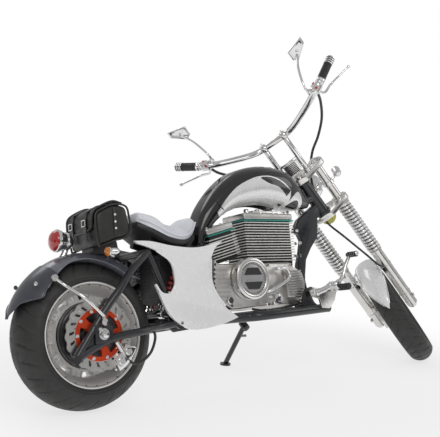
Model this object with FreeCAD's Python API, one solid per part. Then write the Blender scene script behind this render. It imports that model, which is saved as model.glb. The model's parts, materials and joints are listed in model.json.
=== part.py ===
import FreeCAD, Part
import math
import os
from FreeCAD import Placement, Rotation, Vector

# A lean custom motorcycle with a hub motor, standing on its side stand with the bar
# turned to the left stop. Pieces are drawn upright, X forward, Y left, Z up, with the
# rear axle over the drawing's origin, and then placed in the parked attitude.

doc = FreeCAD.newDocument("Chopper")
sheet = doc.addObject("Spreadsheet::Sheet", "Sizes")
cellCount = 0


def size(alias, value, note):
    """One named driving dimension: a cell with its note, a number and an alias."""
    global cellCount
    cellCount += 1
    sheet.set("A%d" % cellCount, note)
    sheet.set("B%d" % cellCount, str(value))
    sheet.setAlias("B%d" % cellCount, alias)
    return value


# Clearances
seatGap = size("seat_gap", 0.3, "gap between seated curved faces")
runGap = size("run_gap", 5, "least gap beside a moving piece")

# Rear wheel
rearTyreR = size("rear_tyre_radius", 265, "axle to rear tread")
rearTyreW = size("rear_tyre_width", 190, "rear tyre width")
rearCrownR = size("rear_crown_radius", 106, "radius of the rear tread across")
rearBeadR = size("rear_bead_radius", 177.8, "half of a 14 inch rim")
rearRimHalf = size("rear_rim_half", 86, "half width of the rear rim")
rimLip = size("rim_lip", 14.7, "height of a rim flange over its bead seat")
rimLipWall = size("rim_lip_wall", 6, "thickness of a rim flange")
rimWall = size("rim_wall", 9, "rim barrel wall")
hubDrumR = size("hub_drum_radius", 140, "hub motor drum")
hubDrumHalf = size("hub_drum_half", 62, "half width of the hub motor drum")
hubFaceHalf = size("hub_face_half", 100, "hub motor end face from the wheel's centre plane")
axleR = size("axle_radius", 10, "rear axle")
rearSpokes = size("rear_spokes", 9, "spokes of the rear wheel")
discR = size("disc_radius", 130, "rear brake disc")
discT = size("disc_thickness", 5, "brake disc")
discY = size("disc_offset", 124, "rear disc from the wheel's centre plane")
carrierR = size("carrier_radius", 78, "inner carrier of the rear disc")

# Front wheel
frontTyreR = size("front_tyre_radius", 272, "axle to front tread")
frontTyreW = size("front_tyre_width", 112, "front tyre width")
frontCrownR = size("front_crown_radius", 62.7, "radius of the front tread across")
frontBeadR = size("front_bead_radius", 203.2, "half of a 16 inch rim")
frontRimHalf = size("front_rim_half", 42, "half width of the front rim")
frontHubR = size("front_hub_radius", 32, "front hub")
frontHubHalf = size("front_hub_half", 40, "half width of the front hub")
frontSpokes = size("front_spokes", 9, "spokes of the front wheel")
frontDiscR = size("front_disc_radius", 120, "front brake disc")
frontDiscY = size("front_disc_offset", 54, "front disc from the wheel's centre plane")
frontAxleR = size("front_axle_radius", 8, "front axle")

# Steering geometry
wheelbase = size("wheelbase", 1768, "rear axle to front axle, wheels straight")
rake = size("rake_angle", 41, "steering axis from upright, degrees")
forkOffset = size("fork_offset", 70, "steering axis to fork legs")
steerAngle = size("steer_angle", 46, "bar turned to its left stop, degrees")
legHalf = size("leg_half_spacing", 94, "centre plane to a fork leg")
legR = size("fork_tube_radius", 21, "upper fork tube")
sliderR = size("slider_radius", 27, "lower fork slider")
stemR = size("stem_radius", 14, "steering stem")
headR = size("head_tube_radius", 30, "steering head tube")
lowerClampC = size("lower_clamp_height", 663, "lower clamp above the axle, along the axis")
upperClampC = size("upper_clamp_height", 876, "upper clamp above the axle, along the axis")
clampT = size("clamp_thickness", 30, "thickness of a fork clamp")
sliderTopC = size("slider_top_height", 340, "top of a slider above the axle")

# Handlebar
riserHalf = size("riser_half_spacing", 53, "centre plane to a riser")
riserC = size("riser_top_height", 1087, "handlebar at the risers, above the axle")
riserA = size("riser_forward", 20, "handlebar at the risers, before the axis")
barR = size("bar_radius", 14, "handlebar tube")
gripR = size("grip_radius", 16, "rubber grip")
barEndB = size("bar_end_out", 417, "centre plane to a bar end")

# Frame and covers
railY = size("rail_out", 152, "centre plane to a lower rail")
railR = size("rail_radius", 19, "lower rail tube")
railZ = size("rail_height", 290, "lower rail above the ground")
armY = size("arm_out", 150, "centre plane to a swingarm tube at the axle")
armFrontY = size("arm_front_out", 116, "centre plane to a swingarm tube at the pivot")
armR = size("arm_radius", 14, "swingarm tube")
backboneR = size("backbone_radius", 22, "backbone tube under the tank")
fenderR = size("fender_radius", 316, "rear axle to the fender's top")
fenderHalf = size("fender_half_width", 106, "half width of the rear fender")
fenderWall = size("fender_wall", 4, "fender sheet")
tankSkin = size("tank_skin", 6, "thickness of a tank side panel")
coverY = size("cover_out", 142, "centre plane to the side cover's face")
coverT = size("cover_thickness", 11, "thickness of a side cover")
bagHalf = size("bag_half_width", 128, "half width of the tail bag")

# Power unit
caseHalf = size("case_half_width", 118, "half width of the casing")
cylinderHalf = size("cylinder_half_width", 78, "half width of a finned block")
finPitch = size("fin_pitch", 11, "fin to fin")
finT = size("fin_thickness", 4.5, "one fin")
finDepth = size("fin_depth", 9, "fin over its core")

# Side stand
leanAngle = size("lean_angle", 13.69, "parked lean to the left, degrees")
standX = size("stand_x", 866, "stand pivot from the rear axle")
standZ = size("stand_z", 250, "stand pivot above the ground")
standY = size("stand_y", 150, "stand pivot from the centre plane")
standFootY = size("stand_foot_y", 310, "stand foot from the centre plane")
standR = size("stand_radius", 11, "stand leg")

doc.recompute()

# Attitude of the parked motorcycle

axisX = Vector(1, 0, 0)
axisY = Vector(0, 1, 0)
axisZ = Vector(0, 0, 1)
fork = Rotation(axisY, -rake)
forward = fork.multVec(axisX)
upAxis = fork.multVec(axisZ)
frontAxle = Vector(wheelbase, 0, frontTyreR)
forkRoot = frontAxle - forward * forkOffset
turned = Rotation(upAxis, steerAngle)


def lowestPoint(centre, axle, radius, crown, attitude):
    """Height of a tyre's lowest point in an attitude, from its round crown."""
    tilt = attitude.multVec(axle).z
    return attitude.multVec(centre).z - (radius - crown) * math.sqrt(1 - tilt * tilt) - crown


def attitudeAt(pitch):
    return Rotation(axisY, pitch).multiply(Rotation(axisX, -leanAngle))


def wheelGap(pitch):
    """How much higher the front tyre's lowest point is than the rear's."""
    attitude = attitudeAt(pitch)
    rear = lowestPoint(Vector(0, 0, rearTyreR), axisY, rearTyreR, rearCrownR, attitude)
    centre = forkRoot + turned.multVec(frontAxle - forkRoot)
    front = lowestPoint(centre, turned.multVec(axisY), frontTyreR, frontCrownR, attitude)
    return front - rear


lowPitch, highPitch = -10.0, 10.0
for halving in range(50):
    pitch = (lowPitch + highPitch) / 2
    if wheelGap(pitch) > 0:
        lowPitch = pitch
    else:
        highPitch = pitch
attitude = attitudeAt(pitch)
ground = lowestPoint(Vector(0, 0, rearTyreR), axisY, rearTyreR, rearCrownR, attitude)
parked = Placement(Vector(0, 0, -ground), attitude)

# Frames of the groups that are drawn in their own coordinates
bike = Placement()
rearWheel = Placement(Vector(0, 0, rearTyreR), Rotation())
steering = Placement(forkRoot, fork).multiply(Placement(Vector(), Rotation(axisZ, steerAngle)))
frontWheel = steering.multiply(Placement(Vector(forkOffset, 0, 0), Rotation()))

pieces = []


def addPiece(label, shape, group):
    """A sub-part as a feature that keeps its drawing frame in its placement."""
    piece = doc.addObject("Part::Feature", label)
    piece.Label = label
    piece.Shape = shape
    piece.Placement = parked.multiply(group).multiply(shape.Placement)
    pieces.append(piece)
    return piece


# Shapes that several sub-parts use

def rod(start, end, radius):
    run = end - start
    return Part.makeCylinder(radius, run.Length, start, run)


def join(shapes):
    """One shape from parts that touch, with the seams between flat faces taken out."""
    if len(shapes) == 1:
        return shapes[0]
    return shapes[0].fuse(shapes[1:]).removeSplitter()


def group(shapes):
    """Separate solids of one node."""
    solids = []
    for shape in shapes:
        solids.extend(shape.Solids)
    return Part.makeCompound(solids)


def bentPath(points):
    """Straight runs joined by tangent arcs as large as the shorter run allows."""
    edges = []
    last = points[0]
    for before, corner, after in zip(points, points[1:], points[2:]):
        into = (corner - before).normalize()
        out = (after - corner).normalize()
        half = into.getAngle(out) / 2
        cut = 0.45 * min((corner - before).Length, (after - corner).Length)
        first = corner - into * cut
        second = corner + out * cut
        radius = cut / math.tan(half)
        inward = (out - into).normalize()
        middle = corner + inward * (radius / math.cos(half) - radius)
        edges.append(Part.makeLine(last, first))
        edges.append(Part.Arc(first, middle, second).toShape())
        last = second
    edges.append(Part.makeLine(last, points[-1]))
    return Part.Wire(edges)


def pipe(points, radius):
    path = bentPath(points)
    start = points[0]
    ring = Part.Wire(Part.makeCircle(radius, start, points[1] - start))
    return path.makePipeShell([ring], True, True)


def outline(points):
    return Part.Face(Part.makePolygon(points + [points[0]]))


def sideOutline(corners, y):
    """A flat outline in the side view, at one distance from the centre plane."""
    return outline([Vector(x, y, z) for x, z in corners])


def sidePlate(corners, yFrom, yTo):
    return sideOutline(corners, yFrom).extrude(Vector(0, yTo - yFrom, 0))


def curvedPlate(stretches, yFrom, yTo):
    """A plate in the side view whose edge is made of smooth stretches, end to end."""
    edges = []
    for stretch in stretches:
        points = [Vector(x, yFrom, z) for x, z in stretch]
        if len(points) == 2:
            edges.append(Part.makeLine(points[0], points[1]))
        else:
            curve = Part.BSplineCurve()
            curve.interpolate(points)
            edges.append(curve.toShape())
    return Part.Face(Part.Wire(edges)).extrude(Vector(0, yTo - yFrom, 0))


def turnedShape(profile):
    """A solid of revolution about Y from (radius, y) corners."""
    face = outline([Vector(radius, y, 0) for radius, y in profile])
    return face.revolve(Vector(), axisY, 360)


def roundedSection(centre, across, along, halfAcross, halfAlong, corner):
    """A rectangle with round corners as a closed wire, for lofts."""
    edges = []
    turns = ((1, 1), (-1, 1), (-1, -1), (1, -1))
    flatAcross = halfAcross - corner
    flatAlong = halfAlong - corner
    ends = []
    for sideAcross, sideAlong in turns:
        pivot = centre + across * (sideAcross * flatAcross) + along * (sideAlong * flatAlong)
        outAcross = across * (sideAcross * corner)
        outAlong = along * (sideAlong * corner)
        diagonal = (outAcross + outAlong) * math.sqrt(0.5)
        legs = (pivot + outAcross, pivot + diagonal, pivot + outAlong)
        if sideAcross * sideAlong < 0:
            legs = legs[::-1]
        ends.append(legs)
    for index, legs in enumerate(ends):
        after = ends[(index + 1) % len(ends)]
        edges.append(Part.Arc(*legs).toShape())
        edges.append(Part.makeLine(legs[2], after[0]))
    return Part.Wire(edges)


def stationLoft(stations, widen=0.0):
    """A body lofted along the side view: each station has its centre, the slope of its
    path in degrees, half height, half width and corner radius."""
    wires = []
    for x, z, slope, halfHeight, halfWidth, corner in stations:
        along = Rotation(axisY, -slope).multVec(axisZ)
        wires.append(roundedSection(Vector(x, 0, z), axisY, along, halfWidth + widen, halfHeight, corner))
    return Part.makeLoft(wires, True, False)


def ringStack(start, end, inner, wire, count):
    """A coil drawn as rings that touch, round an axis: the form of a closed spring."""
    run = end - start
    length = run.Length
    pitch = length / count
    points = [Vector(inner, 0, 0)]
    edges = []
    outer = inner + 2 * wire
    base = Vector(inner + wire * 0.5, 0, 0)
    edges.append(Part.makeLine(points[0], base))
    last = base
    for turn in range(count):
        foot = Vector(base.x, 0, (turn + 1) * pitch)
        crest = Vector(outer, 0, (turn + 0.5) * pitch)
        edges.append(Part.Arc(last, crest, foot).toShape())
        last = foot
    top = Vector(inner, 0, length)
    edges.append(Part.makeLine(last, top))
    edges.append(Part.makeLine(top, points[0]))
    coil = Part.Face(Part.Wire(edges)).revolve(Vector(), axisZ, 360)
    coil.Placement = Placement(start, Rotation(axisZ, run))
    return coil


# Wheels

def tyre(radius, width, crown, beadRadius, rimHalf):
    """A tyre with a round tread, short shoulders and beads between the rim's flanges."""
    bead = rimHalf - rimLipWall - seatGap
    shoulder = width / 2
    edge = radius - crown + math.sqrt(crown * crown - shoulder * shoulder)
    lip = beadRadius + rimLip + seatGap
    inner = beadRadius + seatGap
    right = [Vector(inner, bead, 0), Vector(lip, bead, 0), Vector(edge, shoulder, 0)]
    left = [Vector(point.x, -point.y, 0) for point in reversed(right)]
    edges = [Part.makeLine(right[0], right[1]), Part.makeLine(right[1], right[2])]
    edges.append(Part.Arc(right[2], Vector(radius, 0, 0), left[0]).toShape())
    edges.append(Part.makeLine(left[0], left[1]))
    edges.append(Part.makeLine(left[1], left[2]))
    edges.append(Part.makeLine(left[2], right[0]))
    return Part.Face(Part.Wire(edges)).revolve(Vector(), axisY, 360)


def rimBarrel(beadRadius, rimHalf):
    inner = beadRadius - rimWall
    lip = beadRadius + rimLip
    flange = rimHalf - rimLipWall
    profile = [(inner, -rimHalf), (lip, -rimHalf), (lip, -flange), (beadRadius, -flange),
               (beadRadius, flange), (lip, flange), (lip, rimHalf), (inner, rimHalf)]
    return turnedShape(profile)


def spoke(innerRadius, outerRadius, innerHalf, outerHalf, thick, angle):
    """A cast spoke: a flared web with a rib along each edge."""
    web = outline([Vector(innerRadius, -thick / 2, -innerHalf), Vector(outerRadius, -thick / 2, -outerHalf),
                   Vector(outerRadius, -thick / 2, outerHalf), Vector(innerRadius, -thick / 2, innerHalf)])
    solid = web.extrude(Vector(0, thick, 0))
    solid.rotate(Vector(), axisY, angle)
    return solid


def rearRim():
    shapes = [rimBarrel(rearBeadR, rearRimHalf)]
    hubRing = turnedShape([(hubDrumR + seatGap, -hubDrumHalf + 10), (hubDrumR + 8, -hubDrumHalf + 10),
                           (hubDrumR + 8, hubDrumHalf - 10), (hubDrumR + seatGap, hubDrumHalf - 10)])
    shapes.append(hubRing)
    for index in range(int(rearSpokes)):
        shapes.append(spoke(hubDrumR + 6, rearBeadR - rimWall + 2, 21, 27, 96, index * 360 / rearSpokes))
    return join(shapes)


def hubMotor():
    """The hub motor: a drum with stepped, tapering end covers round the fixed axle."""
    bore = axleR + seatGap
    profile = [(bore, -hubFaceHalf), (carrierR - 20, -hubFaceHalf), (carrierR + 4, -hubFaceHalf + 14),
               (hubDrumR - 14, -hubDrumHalf), (hubDrumR, -hubDrumHalf), (hubDrumR, hubDrumHalf),
               (hubDrumR - 14, hubDrumHalf), (carrierR + 4, hubFaceHalf - 14),
               (carrierR - 20, hubFaceHalf), (bore, hubFaceHalf)]
    return turnedShape(profile)


def brakeDisc(radius, bandWidth, boreRadius, arms):
    """A wave edged brake disc with a spoked carrier."""
    edge = []
    waves = 3 * arms
    depth = 3.0
    for step in range(waves * 4):
        angle = 2 * math.pi * step / (waves * 4)
        reach = radius - depth / 2 + depth / 2 * math.cos(waves * angle)
        edge.append(Vector(reach * math.cos(angle), 0, reach * math.sin(angle)))
    curve = Part.BSplineCurve()
    curve.interpolate(edge, PeriodicFlag=True)
    disc = Part.Face(Part.Wire(curve.toShape())).extrude(Vector(0, discT, 0))
    disc = disc.cut(Part.makeCylinder(boreRadius, discT, Vector(), axisY))
    inner = radius - bandWidth
    middle = (inner + boreRadius) / 2 + 6
    for index in range(arms):
        window = Part.makeCylinder((inner - boreRadius) * 0.34, discT, Vector(middle, 0, 0), axisY)
        window.rotate(Vector(), axisY, index * 360 / arms)
        disc = disc.cut(window)
    return disc


def rearDisc():
    disc = brakeDisc(discR, 30, 34, 6)
    disc.translate(Vector(0, -discY - discT / 2, 0))
    standoff = turnedShape([(34, -discY + discT / 2), (carrierR - 24, -discY + discT / 2),
                            (carrierR - 24, -hubFaceHalf - seatGap), (34, -hubFaceHalf - seatGap)])
    return join([disc, standoff])


def frontRim():
    shapes = [rimBarrel(frontBeadR, frontRimHalf)]
    bore = frontAxleR + seatGap
    hub = turnedShape([(bore, -frontHubHalf), (frontHubR, -frontHubHalf), (frontHubR, frontHubHalf),
                       (bore, frontHubHalf)])
    shapes.append(hub)
    for index in range(int(frontSpokes)):
        shapes.append(spoke(frontHubR - 3, frontBeadR - rimWall + 2, 9, 15, 30, index * 360 / frontSpokes))
    return join(shapes)


def frontDisc():
    disc = brakeDisc(frontDiscR, 28, 24, 6)
    disc.translate(Vector(0, frontDiscY - discT / 2, 0))
    standoff = turnedShape([(24, frontHubHalf + seatGap), (36, frontHubHalf + seatGap),
                            (36, frontDiscY - discT / 2), (24, frontDiscY - discT / 2)])
    return join([disc, standoff])


addPiece("rear_tyre", tyre(rearTyreR, rearTyreW, rearCrownR, rearBeadR, rearRimHalf), rearWheel)
addPiece("rear_rim", rearRim(), rearWheel)
addPiece("hub_motor", hubMotor(), rearWheel)
addPiece("rear_disc", rearDisc(), rearWheel)
addPiece("front_tyre", tyre(frontTyreR, frontTyreW, frontCrownR, frontBeadR, frontRimHalf), frontWheel)
addPiece("front_rim", frontRim(), frontWheel)
addPiece("front_disc", frontDisc(), frontWheel)

# Frame

neckLow = lowerClampC + clampT / 2 + runGap
neckHigh = upperClampC - clampT / 2 - runGap


def onAxis(along, ahead=0.0):
    """A point of the centre plane by its place along and ahead of the steering axis."""
    return forkRoot + upAxis * along + forward * ahead


pivotX = size("pivot_x", 345, "swingarm pivot from the rear axle")
pivotZ = size("pivot_z", 282, "swingarm pivot above the ground")
pivotR = size("pivot_radius", 20, "swingarm pivot tube")
lugY = size("pivot_lug_out", 86, "centre plane to a pivot lug")
lugT = size("pivot_lug_thickness", 12, "pivot lug")
postX = size("post_x", 470, "rear post from the rear axle")


shockTubeR = size("shock_tube_radius", 10, "cross tubes that carry the dampers")
shockLowX = size("shock_low_x", 305, "lower damper eye from the rear axle")
shockLowZ = size("shock_low_z", 318, "lower damper eye above the ground")
shockHighX = size("shock_high_x", 415, "upper damper eye from the rear axle")
shockHighZ = size("shock_high_z", 560, "upper damper eye above the ground")
backbonePath = [onAxis((neckLow + neckHigh) / 2), Vector(1100, 0, 782), Vector(720, 0, 768),
                Vector(575, 0, 668), Vector(postX, 0, 575)]


def mainFrame():
    """Steering head, S-shaped down plate, backbone and rear posts with the pivot lugs."""
    head = rod(onAxis(neckLow), onAxis(neckHigh), headR)
    plate = curvedPlate([[(1160, 800), (1152, 739), (1133, 633), (1089, 520)],
                         [(1089, 520), (1115, 508)],
                         [(1115, 508), (1191, 640), (1245, 722)],
                         [(1245, 722), (1205, 800)], [(1205, 800), (1160, 800)]], -18, 18)
    backbone = pipe(backbonePath, backboneR)
    shapes = [head, plate, backbone]
    cross = rod(Vector(postX, -100, 560), Vector(postX, 100, 560), 15)
    shapes.append(cross)
    for side in (-1, 1):
        shapes.append(rod(Vector(postX, side * 100, 575), Vector(postX, side * lugY, railZ + railR + 4), 15))
        lug = sidePlate([(postX + 12, 420), (postX + 12, 262), (pivotX - 10, 250), (pivotX - 34, 270),
                         (pivotX - 20, 316), (postX - 30, 360)], side * (lugY - lugT / 2), side * (lugY + lugT / 2))
        shapes.append(lug)
        shapes.append(pipe([Vector(postX, side * 92, 562), Vector(380, side * 84, 568),
                            Vector(268, side * 66, 596)], 11))
    shapes.append(rod(Vector(shockHighX, -88, shockHighZ), Vector(shockHighX, 88, shockHighZ), shockTubeR))
    frame = join(shapes)
    frame = frame.cut(rod(Vector(pivotX, -200, pivotZ), Vector(pivotX, 200, pivotZ), pivotR + seatGap))
    return frame.cut(rod(onAxis(neckLow - 5), onAxis(neckHigh + 5), stemR + seatGap))


rearMountX = size("rear_mount_x", 600, "rear casing mount from the rear axle")
frontMountX = size("front_mount_x", 950, "front casing mount from the rear axle")
mountTubeR = size("mount_tube_radius", 14, "cross tubes under the casing")


def railPoints(side):
    inner = lugY + lugT / 2 + railR + seatGap
    return [Vector(postX - 6, side * inner, railZ - 6), Vector(665, side * inner, railZ - 5),
            Vector(750, side * railY, railZ - 3), Vector(1075, side * railY, railZ + 10),
            Vector(1122, side * 112, 400), Vector(1094, side * 36, 497)]


def cradleRails():
    """Lower rails with their upturned fronts and the cross tubes."""
    shapes = [pipe(railPoints(side), railR) for side in (-1, 1)]
    for x, z, reach in ((rearMountX, railZ - 5, lugY + lugT), (frontMountX, railZ + 6, railY - 6)):
        shapes.append(rod(Vector(x, -reach, z), Vector(x, reach, z), mountTubeR))
    shapes.append(rod(Vector(1094, -40, 497), Vector(1094, 40, 497), railR - 1))
    return join(shapes)


def swingarm():
    """Two tube triangles with axle plates, joined by the pivot tube and an upper cross tube."""
    near = armFrontY
    shapes = [rod(Vector(pivotX, -near, pivotZ), Vector(pivotX, near, pivotZ), pivotR)]
    shapes.append(rod(Vector(228, -near, 552), Vector(228, near, 552), armR - 1))
    shapes.append(rod(Vector(shockLowX, -near, shockLowZ), Vector(shockLowX, near, shockLowZ), shockTubeR))
    for side in (-1, 1):
        y = side * armY
        shapes.append(pipe([Vector(-96, y, 200), Vector(5, y, 341), Vector(73, y, 415),
                            Vector(150, side * (armY + near) / 2, 490), Vector(228, side * near, 552)], armR))
        shapes.append(pipe([Vector(-96, y, 200), Vector(50, y, 245), Vector(160, y, 262),
                            Vector(262, side * near, 274), Vector(pivotX, side * near, pivotZ + 2)], armR))
        shapes.append(rod(Vector(pivotX - 8, side * near, pivotZ), Vector(228, side * near, 552), armR - 3))
        shapes.append(sidePlate([(-98, 196), (-72, 240), (30, 372), (76, 400), (84, 262), (0, 232)],
                                y - 5, y + 5))
    arm = join(shapes)
    return arm.cut(rod(Vector(0, -200, rearTyreR), Vector(0, 200, rearTyreR), axleR + seatGap))


def rearAxle():
    """Fixed axle with a nut and adjuster block on each side."""
    reach = armY + 5
    shapes = [rod(Vector(0, -reach - 22, rearTyreR), Vector(0, reach + 22, rearTyreR), axleR)]
    for side in (-1, 1):
        start = side * (reach + seatGap)
        block = Part.makeBox(38, 9, 22, Vector(-20, start if side > 0 else start - 9, rearTyreR - 11))
        shapes.append(block)
        shapes.append(rod(Vector(0, start, rearTyreR), Vector(0, start + side * 19, rearTyreR), 15))
        inner = side * (reach - 10 - seatGap)
        shapes.append(rod(Vector(0, inner, rearTyreR), Vector(0, side * (hubFaceHalf + 34), rearTyreR), 16))
    return join(shapes)


addPiece("main_frame", mainFrame(), bike)
addPiece("cradle_rails", cradleRails(), bike)
addPiece("swingarm", swingarm(), bike)
addPiece("rear_axle", rearAxle(), bike)

# Brakes

caliperAngle = size("caliper_angle", -43, "rear caliper round the axle, degrees from forward")


def caliperBlock(radius, angle, arc, depth, gap):
    """A caliper round a disc's edge: an arched block with a slot for the disc."""
    inner = radius - depth
    outer = radius + 16
    half = math.radians(arc / 2)
    start = Vector(inner * math.cos(half), 0, -inner * math.sin(half))
    startOut = Vector(outer * math.cos(half), 0, -outer * math.sin(half))
    end = Vector(start.x, 0, -start.z)
    endOut = Vector(startOut.x, 0, -startOut.z)
    edges = [Part.makeLine(start, startOut), Part.Arc(startOut, Vector(outer, 0, 0), endOut).toShape(),
             Part.makeLine(endOut, end), Part.Arc(end, Vector(inner, 0, 0), start).toShape()]
    width = 2 * gap + discT + 2 * 15
    block = Part.Face(Part.Wire(edges)).extrude(Vector(0, width, 0))
    block.translate(Vector(0, -width / 2, 0))
    slot = Part.makeCylinder(radius + 6, discT + 2 * gap, Vector(0, -discT / 2 - gap, 0), axisY)
    block = block.cut(slot)
    block.rotate(Vector(), axisY, -angle)
    return block


def rearCaliper():
    block = caliperBlock(discR, caliperAngle, 36, 30, runGap)
    block.translate(Vector(0, -discY, rearTyreR))
    hanger = sidePlate([(88, 160), (128, 160), (132, 243), (76, 235)],
                       -discY - discT / 2 - runGap - 1, -discY - discT / 2 - runGap - 12)
    return join([block, hanger])


addPiece("rear_caliper", rearCaliper(), bike)

# Power unit

coverX = size("round_cover_x", 675, "round cover from the rear axle")
coverZ = size("round_cover_z", 444, "round cover above the ground")
coverR = size("round_cover_radius", 86, "round cover")


rearSeatZ = size("rear_seat_z", 525, "top of the casing under the rear finned block")
frontSeatZ = size("front_seat_z", 503, "top of the casing under the front finned block")


def casing():
    """The casing under the finned blocks, with bevelled sides."""
    corners = [(523, rearSeatZ), (507, 361), (587, 318), (792, 314), (978, 322), (991, 432), (940, frontSeatZ),
               (726, frontSeatZ), (722, rearSeatZ)]
    core = sidePlate(corners, -caseHalf + 26, caseHalf - 26)
    middle = Vector(745, 0, 415)
    shapes = [core]
    for side in (-1, 1):
        near = [Vector(x, side * (caseHalf - 26), z) for x, z in corners]
        far = []
        for point in near:
            inward = Vector(middle.x + (point.x - middle.x) * 0.9, side * caseHalf,
                            middle.z + (point.z - middle.z) * 0.86)
            far.append(inward)
        shapes.append(Part.makeLoft([Part.makePolygon(near + [near[0]]), Part.makePolygon(far + [far[0]])],
                                    True, True))
        for x, z in ((rearMountX, railZ - 5), (frontMountX, railZ + 6)):
            top = z + mountTubeR + seatGap
            shapes.append(Part.makeBox(30, 36, 334 - top, Vector(x - 15, side * 56 - 18, top)))
    return join(shapes)


def finnedBlock(width, height, top, halfAcross):
    """A finned block standing on its origin: a core, a stack of fins and a head."""
    core = Part.makeBox(width - 2 * finDepth, 2 * (halfAcross - finDepth), height,
                        Vector(-width / 2 + finDepth, -halfAcross + finDepth, 0))
    shapes = [core]
    count = int((height - top) / finPitch)
    for index in range(count):
        fin = Part.makeBox(width, 2 * halfAcross, finT, Vector(-width / 2, -halfAcross, 6 + index * finPitch))
        shapes.append(fin)
    head = Part.makeBox(width - 10, 2 * halfAcross - 8, top - 8,
                        Vector(-width / 2 + 5, -halfAcross + 4, height - top + 8))
    head = head.makeFillet(6, [edge for edge in head.Edges if abs(edge.tangentAt(0).z) > 0.9])
    shapes.append(head)
    return join(shapes)


def frontCylinder():
    block = finnedBlock(272, 205, 34, cylinderHalf)
    block.translate(Vector(866, 0, frontSeatZ + seatGap))
    return block


def rearCylinder():
    block = finnedBlock(112, 122, 20, cylinderHalf - 12)
    block.translate(Vector(660, 0, rearSeatZ + seatGap))
    return block


def engineCovers():
    """Round side cover, finned end cover at the front and the crossing pipe."""
    face = -caseHalf - seatGap
    shapes = []
    cover = Part.makeCylinder(coverR, 44, Vector(coverX, face, coverZ - 28), Vector(0, -1, 0))
    cover = cover.makeChamfer(8, [edge for edge in cover.Edges if edge.BoundBox.YMax < face - 40
                                  and edge.BoundBox.XLength > coverR])
    recess = Part.makeCylinder(coverR - 26, 14, Vector(coverX, face - 30.5, coverZ - 28), Vector(0, -1, 0))
    boss = Part.makeCylinder(24, 16, Vector(coverX, face - 30, coverZ - 28), Vector(0, -1, 0))
    shapes.append(join([cover.cut(recess), boss]))
    end = Part.makeCylinder(62, 34, Vector(905, face, 405), Vector(0, -1, 0))
    for ring in range(4):
        groove = turnedShape([(56, 0), (70, 0), (70, 3.5), (56, 3.5)])
        groove.translate(Vector(905, face - 30 + ring * 7.5, 405))
        end = end.cut(groove)
    shapes.append(end)
    return group(shapes)


addPiece("engine_case", casing(), bike)
addPiece("front_cylinder", frontCylinder(), bike)
addPiece("rear_cylinder", rearCylinder(), bike)
addPiece("engine_covers", engineCovers(), bike)

# Tank, seat and covers

tankStations = [
    (522, 652, 32, 52, 56, 26),
    (580, 716, 44, 52, 68, 28),
    (668, 790, 34, 60, 84, 34),
    (760, 832, 18, 76, 96, 40),
    (862, 846, 4, 80, 100, 42),
    (966, 834, -8, 84, 94, 40),
    (1046, 816, 6, 80, 74, 34),
    (1124, 804, 30, 60, 38, 20)]


def tankShell():
    """The arched tank over the backbone, with a tunnel along its underside."""
    shell = stationLoft(tankStations)
    reach = backboneR + seatGap
    tunnel = pipe(backbonePath, reach)
    below = Part.makeBox(600, 2 * reach, 120, Vector(700, -reach, 776 - 120))
    ahead = Part.makeBox(100, 2 * reach, 120, Vector(1110, -reach, 816 - 120))
    slanted = sidePlate([(480, 584), (575, 668), (722, 776), (790, 700), (600, 500)], -reach, reach)
    return shell.cut([tunnel, below, ahead, slanted])


def tankPanels():
    """The bright side panels that stand proud of the tank's flanks."""
    outer = stationLoft(tankStations, tankSkin)
    inner = stationLoft(tankStations, seatGap)
    region = curvedPlate([[(610, 700), (640, 775), (740, 840), (880, 868), (1010, 850), (1078, 812)],
                          [(1078, 812), (1092, 735)],
                          [(1092, 735), (960, 742), (858, 760), (730, 738), (610, 700)]], -200, 200)
    skin = outer.common(region).cut(inner)
    sides = []
    for side in (-1, 1):
        half = Part.makeBox(800, 200, 600, Vector(500, 30 if side > 0 else -230, 500))
        part = skin.common(half)
        sides.append(max(part.Solids, key=lambda solid: solid.Volume))
    return group(sides)


def seatCushion():
    stations = [
        (244, 678, -6, 26, 100, 22),
        (300, 668, -28, 24, 122, 22),
        (360, 634, -16, 22, 128, 20),
        (430, 636, 16, 24, 112, 20),
        (484, 674, 38, 22, 66, 18)]
    return stationLoft(stations)


def seatBase():
    stations = [
        (246, 644, -6, 11, 94, 9),
        (302, 632, -24, 13, 112, 9),
        (360, 604, -12, 13, 116, 9),
        (428, 605, 12, 13, 98, 9),
        (466, 627, 30, 12, 58, 9)]
    cushion = seatCushion()
    cushion.translate(Vector(0, 0, -seatGap))
    pads = [Part.makeCylinder(10, 22, Vector(300, side * 71, 602.2)) for side in (-1, 1)]
    return join([stationLoft(stations)] + pads).cut(cushion)


def crescentCover(side):
    """The crescent side cover with hollowed front and rear edges."""
    outer = side * coverY
    plate = curvedPlate([[(163, 592), (296, 578), (433, 570), (576, 592)],
                         [(576, 592), (515, 524), (493, 439), (524, 360), (626, 292)],
                         [(626, 292), (535, 270), (429, 255), (361, 270), (298, 322), (250, 390)],
                         [(250, 390), (324, 372), (342, 425), (313, 501), (240, 556), (168, 574)],
                         [(168, 574), (163, 592)]],
                        outer, outer - side * coverT)
    return plate


addPiece("tank_shell", tankShell(), bike)
addPiece("tank_panels", tankPanels(), bike)
addPiece("seat_cushion", seatCushion(), bike)
addPiece("seat_base", seatBase(), bike)
addPiece("side_covers", group([crescentCover(-1), crescentCover(1)]), bike)


shockY = size("shock_out", 64, "centre plane to a damper")


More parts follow.
